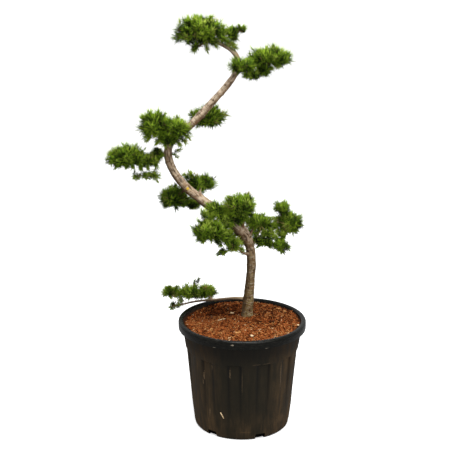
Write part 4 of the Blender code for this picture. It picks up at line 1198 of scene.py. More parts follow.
rise = np.zeros(len(skin_points))
on_trunk = owner_limb == 0
flaky_trunk = np.clip(1.2 - straight[:, 2] / LOW_BARK, FLAKY_HIGH_UP, 1.0)
flaky = np.where(on_trunk, flaky_trunk, FLAKY_BOUGHS)
thickness = np.array([limbs[names[i]][k, 3] for i, k in zip(owner_limb, owner_sample)])
size = np.clip(thickness / FULL_RELIEF, 0.15, 1.3)
for n, place in enumerate(straight):
    lump, knob, band = (bark_noise(place, *kind) for kind in (LUMPS, KNOBS, BANDS))
    crack = 1 - abs(bark_noise(place, *CRACKS)) * 2
    crack_depth = max(0.0, crack - 0.5) * CRACK_DEPTH * flaky[n]
    rise[n] = lump * LUMP_HEIGHT + knob * KNOB_HEIGHT - crack_depth + band * BAND_HEIGHT
rise *= size
scar_mask = np.zeros(len(skin_points))
for t, degrees, width, height in SCARS:
    gap = np.linalg.norm(skin_points - scar_centre(t, degrees), axis=1) / width
    rise += height * (np.exp(-(gap**2) * SCAR_RIM) - PIT_SHARE * np.exp(-(gap**2) * SCAR_PIT))
    scar_mask = np.maximum(scar_mask, np.exp(-(gap**2) * SCAR_COLOUR))
for t, degrees, width, height in SWELLINGS:
    gap = np.linalg.norm(skin_points - scar_centre(t, degrees), axis=1) / width
    rise += height * np.exp(-(gap**2))
for name in names[1:]:
    root = limbs[name][min(COLLAR_SAMPLE, len(limbs[name]) - 1), :3]
    collar = np.linalg.norm(skin_points - root, axis=1) / COLLAR_REACH
    rise += COLLAR_HEIGHT * np.exp(-(collar**2)) * np.clip(thickness / COLLAR_RADIUS, 0, 1)

skin_points += skin_normals * rise[:, None]
skin_points[:, 2] = np.minimum(skin_points[:, 2], CAD_BOX[1].z - UNDER_TOP)
skin.data.vertices.foreach_set("co", skin_points.ravel())
skin.data.update()
print("relief from", round(float(rise.min()) * 1000, 2), "to", round(float(rise.max()) * 1000, 2), "mm")

# %% Write down on the mesh what the colours need
OLIVE_HEIGHT = 0.33
SLIM_RADIUS = 0.009
SHADE_GAIN = 1.7
SHADE_FADE = 0.1

straight_place = skin.data.attributes.new("bark_run", "FLOAT_VECTOR", "POINT")
straight_place.data.foreach_set("vector", straight.astype(np.float32).ravel())
# How far each point faces up: for weathering, and for painted light from above.
lit = np.clip(skin_normals[:, 2] * 0.5 + 0.5, 0, 1)
lowness = np.where(on_trunk, np.clip(1.15 - straight[:, 2] / OLIVE_HEIGHT, 0, 1), 0)
slim = np.clip(1 - thickness / SLIM_RADIUS, 0, 1)
# Painted shade on the left and under side of the lower trunk.
damp_and_shade = np.clip(SHADE_GAIN * (skin_normals @ SHADED_WAY), 0, 1)
damp_and_shade *= np.clip((SHADE_TOP - skin_points[:, 2]) / SHADE_FADE, 0, 1)
# Painted light on the upper left side of the upper trunk.
lit_side = np.clip(skin_normals @ LIT_SIDE_PALE_WAY, 0, 1)
lit_side *= np.clip((skin_points[:, 2] - SHADE_TOP) / SHADE_FADE, 0, 1)
written = {"weathered_and_lit": lit, "low_bark": lowness, "scar": scar_mask, "pale_bark": pale,
           "slim": slim, "damp_and_shade": damp_and_shade, "lit_side": lit_side}
for label, values in written.items():
    attribute = skin.data.attributes.new(label, "FLOAT", "POINT")
    attribute.data.foreach_set("value", values.astype(np.float32))
print("written on the skin:", ", ".join(written))

# %% [markdown]
# ### Bark colours
#
# On top, where rain and light reach it, the bark is weathered silvery tan, made paler still by
# painted light from above. Underneath it keeps its red brown. Scars cross it as short pale dashes
# and dark ones, and cracks run along it. The foot is olive grey with lichen. The lower bends get
# painted shade on their left and under side, while the upper trunk gets painted light on its
# upper left side. All of this is laid down patch by patch, each with its own stretch, in the
# straightened coordinates.

# %% Mix the bark
SILVER, TAN, RED_BROWN = (0.570, 0.445, 0.315), (0.290, 0.190, 0.100), (0.150, 0.072, 0.028)
OLIVE, LICHEN, DARK_CRACK = (0.216, 0.146, 0.053), (0.322, 0.288, 0.118), (0.035, 0.018, 0.009)
PALE_SCAR, SLIM_BROWN, PALE_WOOD = (0.560, 0.460, 0.340), (0.120, 0.062, 0.030), (0.580, 0.450, 0.290)
YELLOW_LICHEN, SHADED_BARK_BROWN = (0.620, 0.400, 0.030), (0.066, 0.038, 0.016)
LIT_SIDE_PALE, FLAKE_BROWN = (0.880, 0.730, 0.560), (0.085, 0.055, 0.030)
LICHEN_SPOT, LICHEN_REACH = (-0.1895, -0.0185, 0.8790), (0.0065, 0.010, 0.0055)

bark, tree, shader, place = new_material("larch_bark", 0.88, 0.14)
run = from_mesh(tree, "bark_run", "Vector")
# Silvery on top and red brown beneath: partly weathering, partly painted light from above.
weathered_and_lit_top = add(tree, "ShaderNodeMapRange", {"interpolation_type": "SMOOTHSTEP"},
              {0: from_mesh(tree, "weathered_and_lit"), 1: 0.10, 2: 0.66}).outputs[0]
mottled = patch_mask(tree, run, (1, 1, 0.8), 60.0, 0.55, 0.10, 4.0)
uneven = math_node(tree, "ADD", math_node(tree, "MULTIPLY", mottled, 0.60), 0.40)
colour = mixed(tree, math_node(tree, "MULTIPLY", weathered_and_lit_top, uneven), RED_BROWN, SILVER)
tanned = patch_mask(tree, run, (1, 1, 0.6), 34.0, 0.42, 0.05)
colour = laid(tree, tanned, 0.7, colour, TAN)
# Painted light on the upper trunk's upper left side.
colour = laid(tree, from_mesh(tree, "lit_side"), 0.62, colour, LIT_SIDE_PALE)
low_bark = from_mesh(tree, "low_bark")
colour = laid(tree, low_bark, 0.92, colour, OLIVE)
flakes = patch_mask(tree, run, (1.3, 1.3, 0.6), 85.0, 0.40, 0.05, 4.0)
colour = laid(tree, math_node(tree, "MULTIPLY", flakes, low_bark), 0.60, colour, FLAKE_BROWN)
lichen = patch_mask(tree, run, (1, 1, 0.8), 90.0, 0.36, 0.05, 4.0)
lichen = math_node(tree, "MULTIPLY", lichen, low_bark)
colour = laid(tree, lichen, 0.60, colour, LICHEN)
red = patch_mask(tree, run, (1, 1, 2.6), 52.0, 0.36, 0.04, 3.0)
colour = laid(tree, red, 0.66, colour, RED_BROWN)
dashes = patch_mask(tree, run, (0.5, 0.5, 3.2), 90.0, 0.30, 0.04, 2.0)
colour = laid(tree, dashes, 0.70, colour, PALE_SCAR)
cracks = patch_mask(tree, run, (1.6, 1.6, 0.32), 130.0, 0.34, 0.05, 3.0)
colour = laid(tree, cracks, 0.75, colour, DARK_CRACK)
colour = laid(tree, from_mesh(tree, "slim"), 0.85, colour, SLIM_BROWN)
colour = mixed(tree, from_mesh(tree, "pale_bark"), colour, PALE_WOOD)
# Painted shade on the lower trunk's left and under side.
colour = laid(tree, from_mesh(tree, "damp_and_shade"), 0.84, colour, SHADED_BARK_BROWN)
scar = from_mesh(tree, "scar")
ring = add(tree, "ShaderNodeMapRange", {}, {0: scar, 1: 0.20, 2: 0.50}).outputs[0]
core = add(tree, "ShaderNodeMapRange", {}, {0: scar, 1: 0.50, 2: 0.75}).outputs[0]
colour = laid(tree, ring, 0.5, colour, TAN)
colour = laid(tree, core, 0.92, colour, DARK_CRACK)
yellow = spot_mask(tree, place, LICHEN_SPOT, LICHEN_REACH, 0.3)
colour = laid(tree, yellow, 0.9, colour, YELLOW_LICHEN)
tree.links.new(colour, shader.inputs["Base Color"])
raised_dashes = math_node(tree, "MULTIPLY", dashes, 0.5)
rough = bumped(tree, run, (1, 1, 0.45), 380.0, 0.65, 0.0016, raised_dashes)
tree.links.new(rough, shader.inputs["Normal"])
finished(skin, [bark], "bark", *TRUNK_SECTIONS, *BOUGHS)

# %% [markdown]
# ## The clouds
#
# Each bough ends in a clipped cloud. Inside it the limb forks into branchlets, these fork
# into shoots, and every shoot carries sprays: short knobs that each bear a whorl of
# thirteen soft needles. The same seeded rule that shapes the solids grows them here:
# shoots are aimed evenly all round a cloud's rounded lobes by the golden angle, shaken a
# little, and end just inside the outline. Here there are many more of them, with real needles.

# %% The clouds' lobes
MASSES = {  # name: (limb whose tip carries it, ((centre, half sizes), ...))
    "pad_crown": ("trunk", (
        ((-0.143, -0.005, 1.411), (0.096, 0.081, 0.064)),
        ((-0.152, -0.014, 1.372), (0.046, 0.042, 0.035)),
        ((-0.074, 0.000, 1.400), (0.037, 0.037, 0.036)),
        ((-0.038, 0.002, 1.404), (0.037, 0.036, 0.035)),
        ((-0.012, 0.002, 1.417), (0.022, 0.019, 0.014)))),
    "pad_upper": ("bough_upper_right", (
        ((0.090, -0.020, 1.327), (0.085, 0.066, 0.045)),
        ((0.066, -0.012, 1.284), (0.031, 0.029, 0.031)),
        ((0.026, -0.034, 1.272), (0.040, 0.029, 0.024)),
        ((0.000, -0.044, 1.304), (0.057, 0.040, 0.032)))),
    "pad_upper_back": ("bough_upper_back", (
        ((-0.121, 0.078, 1.109), (0.072, 0.066, 0.048)),)),
    "pad_bend": ("bough_bend_left", (
        ((-0.297, -0.020, 1.099), (0.068, 0.064, 0.058)),
        ((-0.218, -0.036, 1.092), (0.051, 0.044, 0.046)),
        ((-0.257, -0.028, 1.054), (0.046, 0.035, 0.030)))),
    "pad_far": ("bough_far_left", (
        ((-0.398, 0.000, 0.986), (0.083, 0.070, 0.047)),
        ((-0.322, 0.002, 0.975), (0.049, 0.042, 0.032)),
        ((-0.290, -0.014, 1.000), (0.027, 0.024, 0.023)))),
    "pad_far_sprig": ("bough_far_sprig", (
        ((-0.334, -0.006, 0.922), (0.055, 0.029, 0.021)),)),
    "pad_back_left": ("bough_back_left", (
        ((-0.242, 0.076, 0.820), (0.062, 0.059, 0.055)),
        ((-0.176, 0.070, 0.798), (0.033, 0.031, 0.024)))),
    "pad_back_right": ("bough_back_right", (
        ((-0.148, 0.090, 0.872), (0.067, 0.057, 0.037)),)),
    "pad_front_top": ("bough_front_top", (
        ((-0.010, -0.060, 0.826), (0.068, 0.059, 0.054)),
        ((-0.055, -0.062, 0.782), (0.048, 0.037, 0.036)),
        ((-0.088, -0.056, 0.809), (0.050, 0.044, 0.037)),
        ((-0.017, -0.060, 0.780), (0.034, 0.026, 0.027)))),
    "pad_front_low": ("bough_front_low", (
        ((-0.112, -0.078, 0.742), (0.072, 0.062, 0.054)),
        ((-0.060, -0.072, 0.716), (0.035, 0.033, 0.032)))),
    "pad_front_sprig": ("bough_front_sprig", (
        ((-0.035, -0.052, 0.684), (0.031, 0.033, 0.032)),
        ((-0.070, -0.056, 0.660), (0.022, 0.018, 0.017)))),
    "pad_right_inner": ("bough_right_inner", (
        ((0.060, 0.030, 0.742), (0.055, 0.052, 0.037)),
        ((0.084, 0.020, 0.708), (0.028, 0.028, 0.022)))),
    "pad_right_under": ("bough_right_under", (
        ((0.078, 0.018, 0.676), (0.044, 0.034, 0.022)),)),
    "pad_right_outer": ("bough_right_long", (
        ((0.166, 0.036, 0.740), (0.057, 0.057, 0.054)),
        ((0.140, 0.034, 0.795), (0.036, 0.035, 0.032)),
        ((0.143, 0.030, 0.702), (0.028, 0.026, 0.022)),
        ((0.116, 0.036, 0.731), (0.022, 0.022, 0.020)))),
    "pad_right_low": ("bough_right_low", (
        ((0.133, 0.008, 0.667), (0.036, 0.035, 0.034)),)),
    "pad_low": ("bough_low_right", (
        ((-0.129, 0.163, 0.441), (0.045, 0.042, 0.036)),
        ((-0.191, 0.170, 0.432), (0.053, 0.044, 0.034)),
        ((-0.258, 0.176, 0.432), (0.048, 0.037, 0.025)))),
    "pad_low_tip": ("bough_low", (
        ((-0.251, 0.181, 0.379), (0.031, 0.024, 0.015)),)),
}
print("clouds:", len(MASSES), "lobes:", sum(len(lobes) for _, lobes in MASSES.values()))

# %% Which lobe a place belongs to
SPACE_MARGIN = 0.03  # a share of a lobe's half size
LIMB_CLEARANCE = 0.0008
LIMBS_NEAR = 0.03  # limbs further than this outside a lobe can't meet its needles


def how_far_out(points, lobes):
    """0 at the middle of the nearest lobe and 1 on its outline, for an array of points."""
    shares = [np.linalg.norm((points - np.array(centre)) / np.array(half), axis=-1)
              for centre, half in lobes]
    return np.min(shares, axis=0)


def in_own_space(points, name):
    """Whether points are nearer to their own cloud than to any other."""
    others = [lobe for other, (_, lobes) in MASSES.items() if other != name for lobe in lobes]
    return how_far_out(points, MASSES[name][1]) + SPACE_MARGIN < how_far_out(points, others)


def clear_of_limbs(points, lobes):
    """Whether points stay outside the bark of every limb near these lobes."""
    every = np.concatenate(list(limbs.values()))
    reach = max(max(half) for _, half in lobes) + LIMBS_NEAR
    close = np.zeros(len(every), bool)
    for centre, _ in lobes:
        close |= np.linalg.norm(every[:, :3] - np.array(centre), axis=1) < reach
    free = np.ones(len(points), bool)
    for x, y, z, radius in every[close]:
        free &= np.linalg.norm(points - (x, y, z), axis=-1) > radius + LIMB_CLEARANCE
    return free


# %% Aim shoots all round a lobe
SEED = 11
SHOOTS_APART, FEWEST_SHOOTS = 0.0235, 10
SEAT_INSET, MOST_INSET = 0.0270, 0.74  # metres, and a share of the lobe's least half size
SEAT_DEPTH = (0.80, 1.06)
LOWEST_SHOOT = -0.86  # no shoot points further down than this
JITTER, STRAY = 0.20, 0.3
SHOOT_RISE = 0.30  # shoots turn up towards the light by this much
LEADERS = 0.34  # the share of shoots that run on past the clipped outline
LEADER_REACH = (0.006, 0.016)
GOLDEN = math.pi * (3 - math.sqrt(5))
AREA_POWER = 1.6


def area_of(half):
    """An ellipsoid's surface area, near enough."""
    x, y, z = (side**AREA_POWER for side in half)
    return 4 * math.pi * ((x * y + x * z + y * z) / 3) ** (1 / AREA_POWER)


def directions(count, jitter, rng):
    """Directions spread evenly over a sphere by the golden angle, then shaken."""
    first = rng.uniform(0, math.tau)
    for k in range(count):
        z = 1 - 2 * (k + 0.5) / count
        flat = math.sqrt(1 - z * z)
        turn = first + k * GOLDEN
        out = Vector((flat * math.cos(turn), flat * math.sin(turn), z))
        yield (out + Vector([rng.uniform(-jitter, jitter) for _ in range(3)])).normalized()


def seats(lobe, rng):
    """Where a lobe's shoots end, and which way they point there."""
    centre, half = Vector(lobe[0]), Vector(lobe[1])
    inset = [h - min(SEAT_INSET, MOST_INSET * min(half)) for h in half]
    count = max(FEWEST_SHOOTS, round(area_of(half) / SHOOTS_APART**2))
    for out in directions(count, JITTER, rng):
        if out.z < LOWEST_SHOOT:
            continue
        depth = rng.uniform(*SEAT_DEPTH)
        seat = centre + Vector([o * s * depth for o, s in zip(out, inset)])
        normal = Vector([o / h for o, h in zip(out, half)]).normalized()
        stray = Vector([rng.uniform(-STRAY, STRAY) for _ in range(3)])
        heading = (normal + stray + Vector((0, 0, SHOOT_RISE))).normalized()
        if rng.random() < LEADERS:
            seat += heading * rng.uniform(*LEADER_REACH)
        yield seat, heading


# %% Bend a stem from one place to another
STEM_STEPS = 6
LEAVING, ARRIVING = 0.35, 0.30  # the shares of its length over which a stem leaves and arrives


def bent(start, end, toward, bow, rng):
    """A line that leaves start roughly straight, sags or bows a little, and ends going toward."""
    reach = (end - start).length
    sway = Vector([rng.uniform(-1, 1) for _ in range(3)]) * reach * bow
    first = start + (end - start) * LEAVING + sway
    second = end - toward * reach * ARRIVING
    line = []
    for k in range(STEM_STEPS):
        t = k / (STEM_STEPS - 1)
        line.append(start * (1 - t) ** 3 + first * 3 * t * (1 - t) ** 2
                    + second * 3 * t * t * (1 - t) + end * t**3)
    return line


# %% [markdown]
# ### Shoots with places of their own
#
# The seeded rule fills each lobe evenly, and a real cloud isn't quite so even: here a shoot
# reaches across to the next cloud, there a few hang below the clipped edge or stand up from it.
# These shoots are placed one by one, each by its root and its tip. They bear the same sprays as all
# the others, but their needles may cross into a neighbour's space.

# %% Place them by root and tip
PLACED_SHOOTS = {  # name: ((root, tip, size), ...) for shoots with places of their own
    "pad_upper": (((0.075, -0.020, 1.313), (0.092, -0.020, 1.295), 0.8),
                  ((0.059, -0.020, 1.300), (0.076, -0.020, 1.280), 0.8),
                  ((0.092, -0.020, 1.320), (0.112, -0.020, 1.306), 0.8)),
    "pad_far": (((-0.266, 0.008, 0.992), (-0.306, -0.004, 1.016), 0.45),
                ((-0.268, 0.006, 0.990), (-0.300, -0.014, 0.990), 0.9),
                ((-0.397, -0.010, 0.977), (-0.401, -0.010, 0.958), 0.7),
                ((-0.377, -0.010, 0.974), (-0.379, -0.010, 0.954), 0.7),
                ((-0.353, -0.010, 0.974), (-0.350, -0.010, 0.952), 0.7),
                ((-0.329, -0.010, 0.974), (-0.326, -0.010, 0.954), 0.7)),
    "pad_bend": (((-0.247, 0.002, 0.999), (-0.217, -0.004, 1.011), 0.64),
                 ((-0.250, 0.000, 0.996), (-0.226, -0.006, 0.990), 0.60),
                 ((-0.220, -0.045, 1.074), (-0.198, -0.045, 1.052), 0.8),
                 ((-0.210, -0.040, 1.084), (-0.186, -0.040, 1.065), 0.8),
                 ((-0.233, -0.045, 1.071), (-0.217, -0.045, 1.042), 0.8),
                 ((-0.275, -0.030, 1.071), (-0.292, -0.030, 1.046), 0.8),
                 ((-0.258, -0.035, 1.066), (-0.265, -0.035, 1.040), 0.8),
                 ((-0.309, -0.020, 1.070), (-0.325, -0.020, 1.051), 0.7)),
    "pad_crown": (((-0.051, 0.000, 1.408), (-0.004, 0.000, 1.424), 0.8),
                  ((-0.098, -0.010, 1.407), (-0.074, -0.010, 1.427), 0.9),
                  ((-0.098, -0.012, 1.401), (-0.071, -0.012, 1.408), 0.9),
                  ((-0.094, -0.020, 1.392), (-0.071, -0.020, 1.389), 0.9),
                  ((-0.081, -0.022, 1.396), (-0.055, -0.022, 1.379), 0.9),
                  ((-0.065, -0.020, 1.385), (-0.041, -0.020, 1.372), 0.9),
                  ((-0.051, -0.012, 1.378), (-0.028, -0.012, 1.362), 0.8),
                  ((-0.084, -0.012, 1.408), (-0.065, -0.012, 1.417), 0.8),
                  ((-0.152, -0.010, 1.376), (-0.158, -0.010, 1.362), 0.7),
                  ((-0.101, -0.015, 1.382), (-0.088, -0.015, 1.367), 0.7),
                  ((-0.124, -0.015, 1.378), (-0.121, -0.015, 1.357), 0.8)),
    "pad_far_sprig": (((-0.311, -0.004, 0.934), (-0.296, -0.006, 0.905), 0.6),
                      ((-0.372, -0.004, 0.955), (-0.374, -0.006, 0.916), 0.6)),
    "pad_front_low": (((-0.130, -0.075, 0.775), (-0.136, -0.075, 0.806), 0.9),
                      ((-0.123, -0.072, 0.767), (-0.113, -0.072, 0.794), 0.9),
                      ((-0.106, -0.070, 0.752), (-0.089, -0.070, 0.775), 0.9),
                      ((-0.092, -0.068, 0.737), (-0.068, -0.068, 0.759), 0.9),
                      ((-0.082, -0.066, 0.722), (-0.056, -0.066, 0.738), 0.9),
                      ((-0.065, 0.015, 0.699), (-0.040, 0.015, 0.724), 0.8),
                      ((-0.054, 0.015, 0.680), (-0.026, 0.015, 0.699), 0.8),
                      ((-0.044, 0.015, 0.666), (-0.020, 0.015, 0.680), 0.7),
                      ((-0.058, 0.015, 0.710), (-0.033, 0.015, 0.688), 0.8),
                      ((-0.126, -0.074, 0.774), (-0.126, -0.074, 0.803), 0.8),
                      ((-0.116, -0.072, 0.763), (-0.102, -0.072, 0.792), 0.9),
                      ((-0.099, -0.068, 0.748), (-0.079, -0.068, 0.766), 0.9),
                      ((-0.072, -0.050, 0.739), (-0.051, -0.050, 0.753), 0.8),
                      ((-0.058, -0.015, 0.707), (-0.034, -0.015, 0.724), 0.8)),
    "pad_front_top": (((-0.044, -0.035, 0.767), (-0.023, -0.035, 0.785), 0.8),),
    "pad_front_sprig": (((-0.037, 0.012, 0.682), (-0.009, 0.012, 0.658), 0.7),
                        ((-0.054, 0.012, 0.692), (-0.026, 0.012, 0.668), 0.7),
                        ((-0.023, 0.012, 0.689), (0.000, 0.012, 0.672), 0.7),
                        ((-0.044, 0.012, 0.668), (-0.019, 0.012, 0.651), 0.6)),
    "pad_back_right": (((-0.182, 0.075, 0.883), (-0.203, 0.075, 0.902), 0.8),
                       ((-0.171, 0.075, 0.891), (-0.185, 0.075, 0.909), 0.8),
                       ((-0.136, 0.075, 0.858), (-0.164, 0.075, 0.862), 0.8)),
    "pad_back_left": (((-0.214, 0.065, 0.813), (-0.189, 0.065, 0.820), 0.8),
                      ((-0.203, 0.065, 0.795), (-0.178, 0.065, 0.809), 0.8),
                      ((-0.186, 0.065, 0.795), (-0.161, 0.065, 0.802), 0.7)),
    "pad_right_inner": (((0.048, 0.020, 0.734), (0.022, 0.020, 0.759), 0.9),
                        ((0.051, 0.015, 0.728), (0.022, 0.015, 0.735), 0.9),
                        ((0.055, 0.015, 0.713), (0.029, 0.015, 0.713), 0.9),
                        ((0.062, 0.012, 0.700), (0.036, 0.012, 0.688), 0.8),
                        ((0.076, 0.020, 0.712), (0.066, 0.020, 0.679), 0.8),
                        ((0.016, 0.000, 0.736), (0.007, 0.000, 0.779), 0.9),
                        ((0.069, 0.020, 0.748), (0.100, 0.020, 0.759), 0.8),
                        ((0.072, 0.020, 0.723), (0.104, 0.020, 0.737), 0.8),
                        ((0.083, 0.020, 0.697), (0.104, 0.020, 0.716), 0.8)),
    "pad_right_under": (((0.069, 0.020, 0.679), (0.051, 0.020, 0.705), 0.8),
                        ((0.076, 0.020, 0.682), (0.076, 0.020, 0.716), 0.8),
                        ((0.087, 0.020, 0.679), (0.097, 0.020, 0.708), 0.8),
                        ((0.091, 0.020, 0.675), (0.111, 0.020, 0.694), 0.8),
                        ((0.083, 0.020, 0.671), (0.101, 0.020, 0.660), 0.7)),
    "pad_right_outer": (((0.147, 0.030, 0.746), (0.118, 0.030, 0.757), 0.8),
                        ((0.136, 0.030, 0.735), (0.108, 0.030, 0.738), 0.8),
                        ((0.147, 0.025, 0.721), (0.126, 0.025, 0.714), 0.8),
                        ((0.150, 0.020, 0.712), (0.143, 0.020, 0.690), 0.8)),
    "pad_right_low": (((0.136, 0.010, 0.678), (0.118, 0.010, 0.696), 0.7),
                      ((0.139, 0.010, 0.685), (0.143, 0.010, 0.707), 0.7),
                      ((0.122, 0.010, 0.667), (0.101, 0.010, 0.674), 0.7)),
    "pad_low": (((-0.181, 0.170, 0.455), (-0.173, 0.170, 0.481), 0.50),
                ((-0.170, 0.170, 0.460), (-0.158, 0.170, 0.485), 0.55),
                ((-0.208, 0.176, 0.390), (-0.230, 0.176, 0.410), 0.6),
                ((-0.136, 0.140, 0.411), (-0.128, 0.140, 0.438), 0.5),
                ((-0.170, 0.150, 0.407), (-0.173, 0.150, 0.431), 0.5)),
    "pad_low_tip": (((-0.208, 0.178, 0.383), (-0.238, 0.178, 0.385), 0.6),
                    ((-0.219, 0.180, 0.383), (-0.246, 0.180, 0.373), 0.5),
                    ((-0.216, 0.178, 0.385), (-0.234, 0.178, 0.401), 0.6)),
}
print("placed shoots:", sum(map(len, PLACED_SHOOTS.values())))

# %% [markdown]
# ### Sprays
#
# A spray is a short knob with a whorl of needles. Six of them sit along each shoot: three on its
# sides, wide open, and three on its line, closing to a brush at the tip. Inside a cloud little
# light gets through, and at the tips the growth is new. So a spray's green is chosen by how far
# out on its shoot it sits, how high in its cloud, and a little luck. Deep in a cloud that green is
# painted shade, and on top and at the tips it is painted light as well as the yellow of new growth.

# %% Sprays, and how much light each one has
SPRAYS = (  # (share of the shoot, needle length, width, share kept, first and last opening, axial)
    (0.42, 0.74, 1.0, 1.0, 10, 96, False), (0.56, 0.76, 1.0, 1.0, 10, 96, False),
    (0.69, 0.76, 1.0, 1.0, 12, 92, False), (0.80, 0.76, 1.1, 0.95, 34, 88, True),
    (0.90, 0.86, 1.2, 0.60, 24, 66, True), (1.00, 1.10, 1.35, 0.46, 4, 48, True),
)
SPRAY_SIZE = (0.9, 1.1)
SPRAY_AHEAD, SPRAY_RISE = 0.5, 0.35  # how far a side spray leans along its shoot, and up
HELD, FREE = 1, 0  # whether needles keep to their own cloud's space
LEAFY_SPRAY = (0.8, 1.0, 1.0, 10, 96)  # length, width, share kept, first and last opening
LEAFY_FROM, SPRAYS_APART = 0.45, 0.0065  # along a bough: the share where sprays begin, and metres
LEAFY_LIGHT, LEAFY_AHEAD, LEAFY_RISE = (0.1, 0.7), 0.4, 0.3
TIP_LIGHT, DARK_SHARE, LUCK = 2.6, 0.74, 0.34  # see light_at


def light_at(share, lift, fresh):
    """How light a spray's green is, in painted light and shade: lightest at a shoot's tip and on top of
    its cloud.
    """
    return TIP_LIGHT * (share - DARK_SHARE) + lift + LUCK * fresh


def shoot_sprays(shoot, size, lift, held, rng):
    """The sprays of one shoot: (seat, heading, light, held, length, width, kept, openings)."""
    fresh = rng.gauss(0, 1)
    sprays = []
    for share, length, width, kept, first, last, axial in SPRAYS:
        k = share * (STEM_STEPS - 1)
        low = min(int(k), STEM_STEPS - 2)
        seat = shoot[low].lerp(shoot[low + 1], k - low)
        out = along = (shoot[low + 1] - shoot[low]).normalized()
        if not axial:
            out = Vector([rng.uniform(-1, 1) for _ in range(3)])
            out = (out - along * out.dot(along)).normalized() + along * SPRAY_AHEAD
            out += Vector((0, 0, SPRAY_RISE))
        sprays.append((seat, out.normalized(), light_at(share, lift, fresh), held,
                       size * length * rng.uniform(*SPRAY_SIZE), width, kept, first, last))
    return sprays


def bough_sprays(carrier, rng):
    """Sprays that sit straight on the outer part of a bough."""
    samples = limbs[carrier]
    first = round(LEAFY_FROM * len(samples))
    step = max(1, round(SPRAYS_APART / SAMPLES_APART))
    sprays = []
    for k in range(first, len(samples) - 1, step):
        along = Vector(samples[k + 1, :3] - samples[k, :3]).normalized()
        out = Vector([rng.uniform(-1, 1) for _ in range(3)]) + Vector((0, 0, LEAFY_RISE))
        out = (out - along * out.dot(along)).normalized()
        seat = Vector(samples[k, :3]) + out * samples[k, 3]
        heading = (out + along * LEAFY_AHEAD).normalized()
        sprays.append((seat, heading, rng.uniform(*LEAFY_LIGHT), HELD, *LEAFY_SPRAY))
    return sprays


print("sprays on a shoot:", len(SPRAYS))


# %% Grow one cloud from the tip of its limb
BARE_LIMBS = ("trunk", "bough_low")  # these bear no sprays of their own
THIN_CLOUDS = {"pad_far_sprig": 0.30, "pad_low_tip": 0.25}  # name: share of its shoots it has
THIN_SIZE = 0.65  # a placed shoot of up to this size bears its sprays once, a larger one twice
PLACED_LIFT = 0.60  # placed shoots stand free, so they are in the light
LIFT = 0.16  # how much lighter the top of a cloud is than its middle, in painted light from above
HEART_SUNK = 0.22  # a lobe's heart lies this share of its half height below its middle
LIMB_OVERLAP = 0.004  # the first stem starts this far inside the limb
FIRST_STEM, NEXT_STEM, STEM_TIP = 0.95, 0.62, 0.62  # shares of the limb's and the stem's radius
BRANCHLET_AREA, FEWEST_BRANCHLETS = 0.0046, 4
BRANCHLET_JITTER, LOWEST_BRANCHLET, BRANCHLET_REACH = 0.2, -0.55, 0.52
BRANCHLET_ROOT, BRANCHLET_TIP = 0.50, 0.0010  # a share of the limb's radius, and metres
SHOOT_RADII, PLACED_RADII = (0.00125, 0.00070), (0.0010, 0.0006)
STEM_BOW, BRANCHLET_BOW, PLACED_BOW = 0.10, 0.12, 0.06
SMALL_LOBE, SMALL_SIZE = 0.023, 0.72  # in a lobe as thin as this, needles are this share as long
SWALLOWED = 0.80  # shoots that would end deeper than this in a neighbouring lobe are left out
NO_NEIGHBOUR = 9.0


def grow_branchlets(lobe, heart, rng):
    """The stems that fan out from a lobe's heart: (direction, line)."""
    half = Vector(lobe[1])
    branchlets = []
    count = max(FEWEST_BRANCHLETS, round(area_of(half) / BRANCHLET_AREA))
    for out in directions(count, BRANCHLET_JITTER, rng):
        if out.z >= LOWEST_BRANCHLET:
            end = heart + Vector([o * h * BRANCHLET_REACH for o, h in zip(out, half)])
            branchlets.append((out, bent(heart, end, out, BRANCHLET_BOW, rng)))
    return branchlets


def grow_cloud(name, index):
    """Stems as (line, radius at root and tip), and sprays as shoot_sprays gives them."""
    carrier, lobes = MASSES[name]
    rng = random.Random(SEED + index)
    entry, width = Vector(limbs[carrier][-1, :3]), limbs[carrier][-1, 3]
    arriving = (entry - Vector(limbs[carrier][-3, :3])).normalized()
    hearts = [Vector(c) - Vector((0, 0, h[2] * HEART_SUNK)) for c, h in lobes]
    stems, sprays = [], []
    roots = [(entry - arriving * LIMB_OVERLAP, hearts[0])] + list(zip(hearts, hearts[1:]))
    for k, (start, end) in enumerate(roots):
        thick = width * (FIRST_STEM if k == 0 else NEXT_STEM)
        line = bent(start, end, (end - start).normalized(), STEM_BOW, rng)
        stems.append((line, thick, thick * STEM_TIP))
    for lobe, heart in zip(lobes, hearts):
        rest = [other for other in lobes if other != lobe]
        branchlets = grow_branchlets(lobe, heart, rng)
        stems += [(line, width * BRANCHLET_ROOT, BRANCHLET_TIP) for _, line in branchlets]
        size = 1.0
        if name not in THIN_CLOUDS:
            size = min(1.0, SMALL_SIZE * min(Vector(lobe[1])) / SMALL_LOBE)
        for seat, heading in seats(lobe, rng):
            outness = how_far_out(np.array(seat), rest) if rest else NO_NEIGHBOUR
            if outness < SWALLOWED or rng.random() > THIN_CLOUDS.get(name, 1.0):
                continue
            _, line = max(branchlets, key=lambda b: b[0].dot((seat - heart).normalized()))
            start = line[rng.randint(2, STEM_STEPS - 1)]
            shoot = bent(start, seat, heading, STEM_BOW, rng)
            stems.append((shoot, *SHOOT_RADII))
            lift = LIFT * (seat.z - lobe[0][2]) / lobe[1][2]
            sprays += shoot_sprays(shoot, size, lift, HELD, rng)
    for root, tip, size in PLACED_SHOOTS.get(name, ()):
        root, tip = Vector(root), Vector(tip)
        shoot = bent(root, tip, (tip - root).normalized(), PLACED_BOW, rng)
        stems.append((shoot, *PLACED_RADII))
        for _ in range(2 if size > THIN_SIZE else 1):
            sprays += shoot_sprays(shoot, size, PLACED_LIFT, FREE, rng)
    if carrier not in BARE_LIMBS:
        sprays += bough_sprays(carrier, rng)
    return stems, sprays


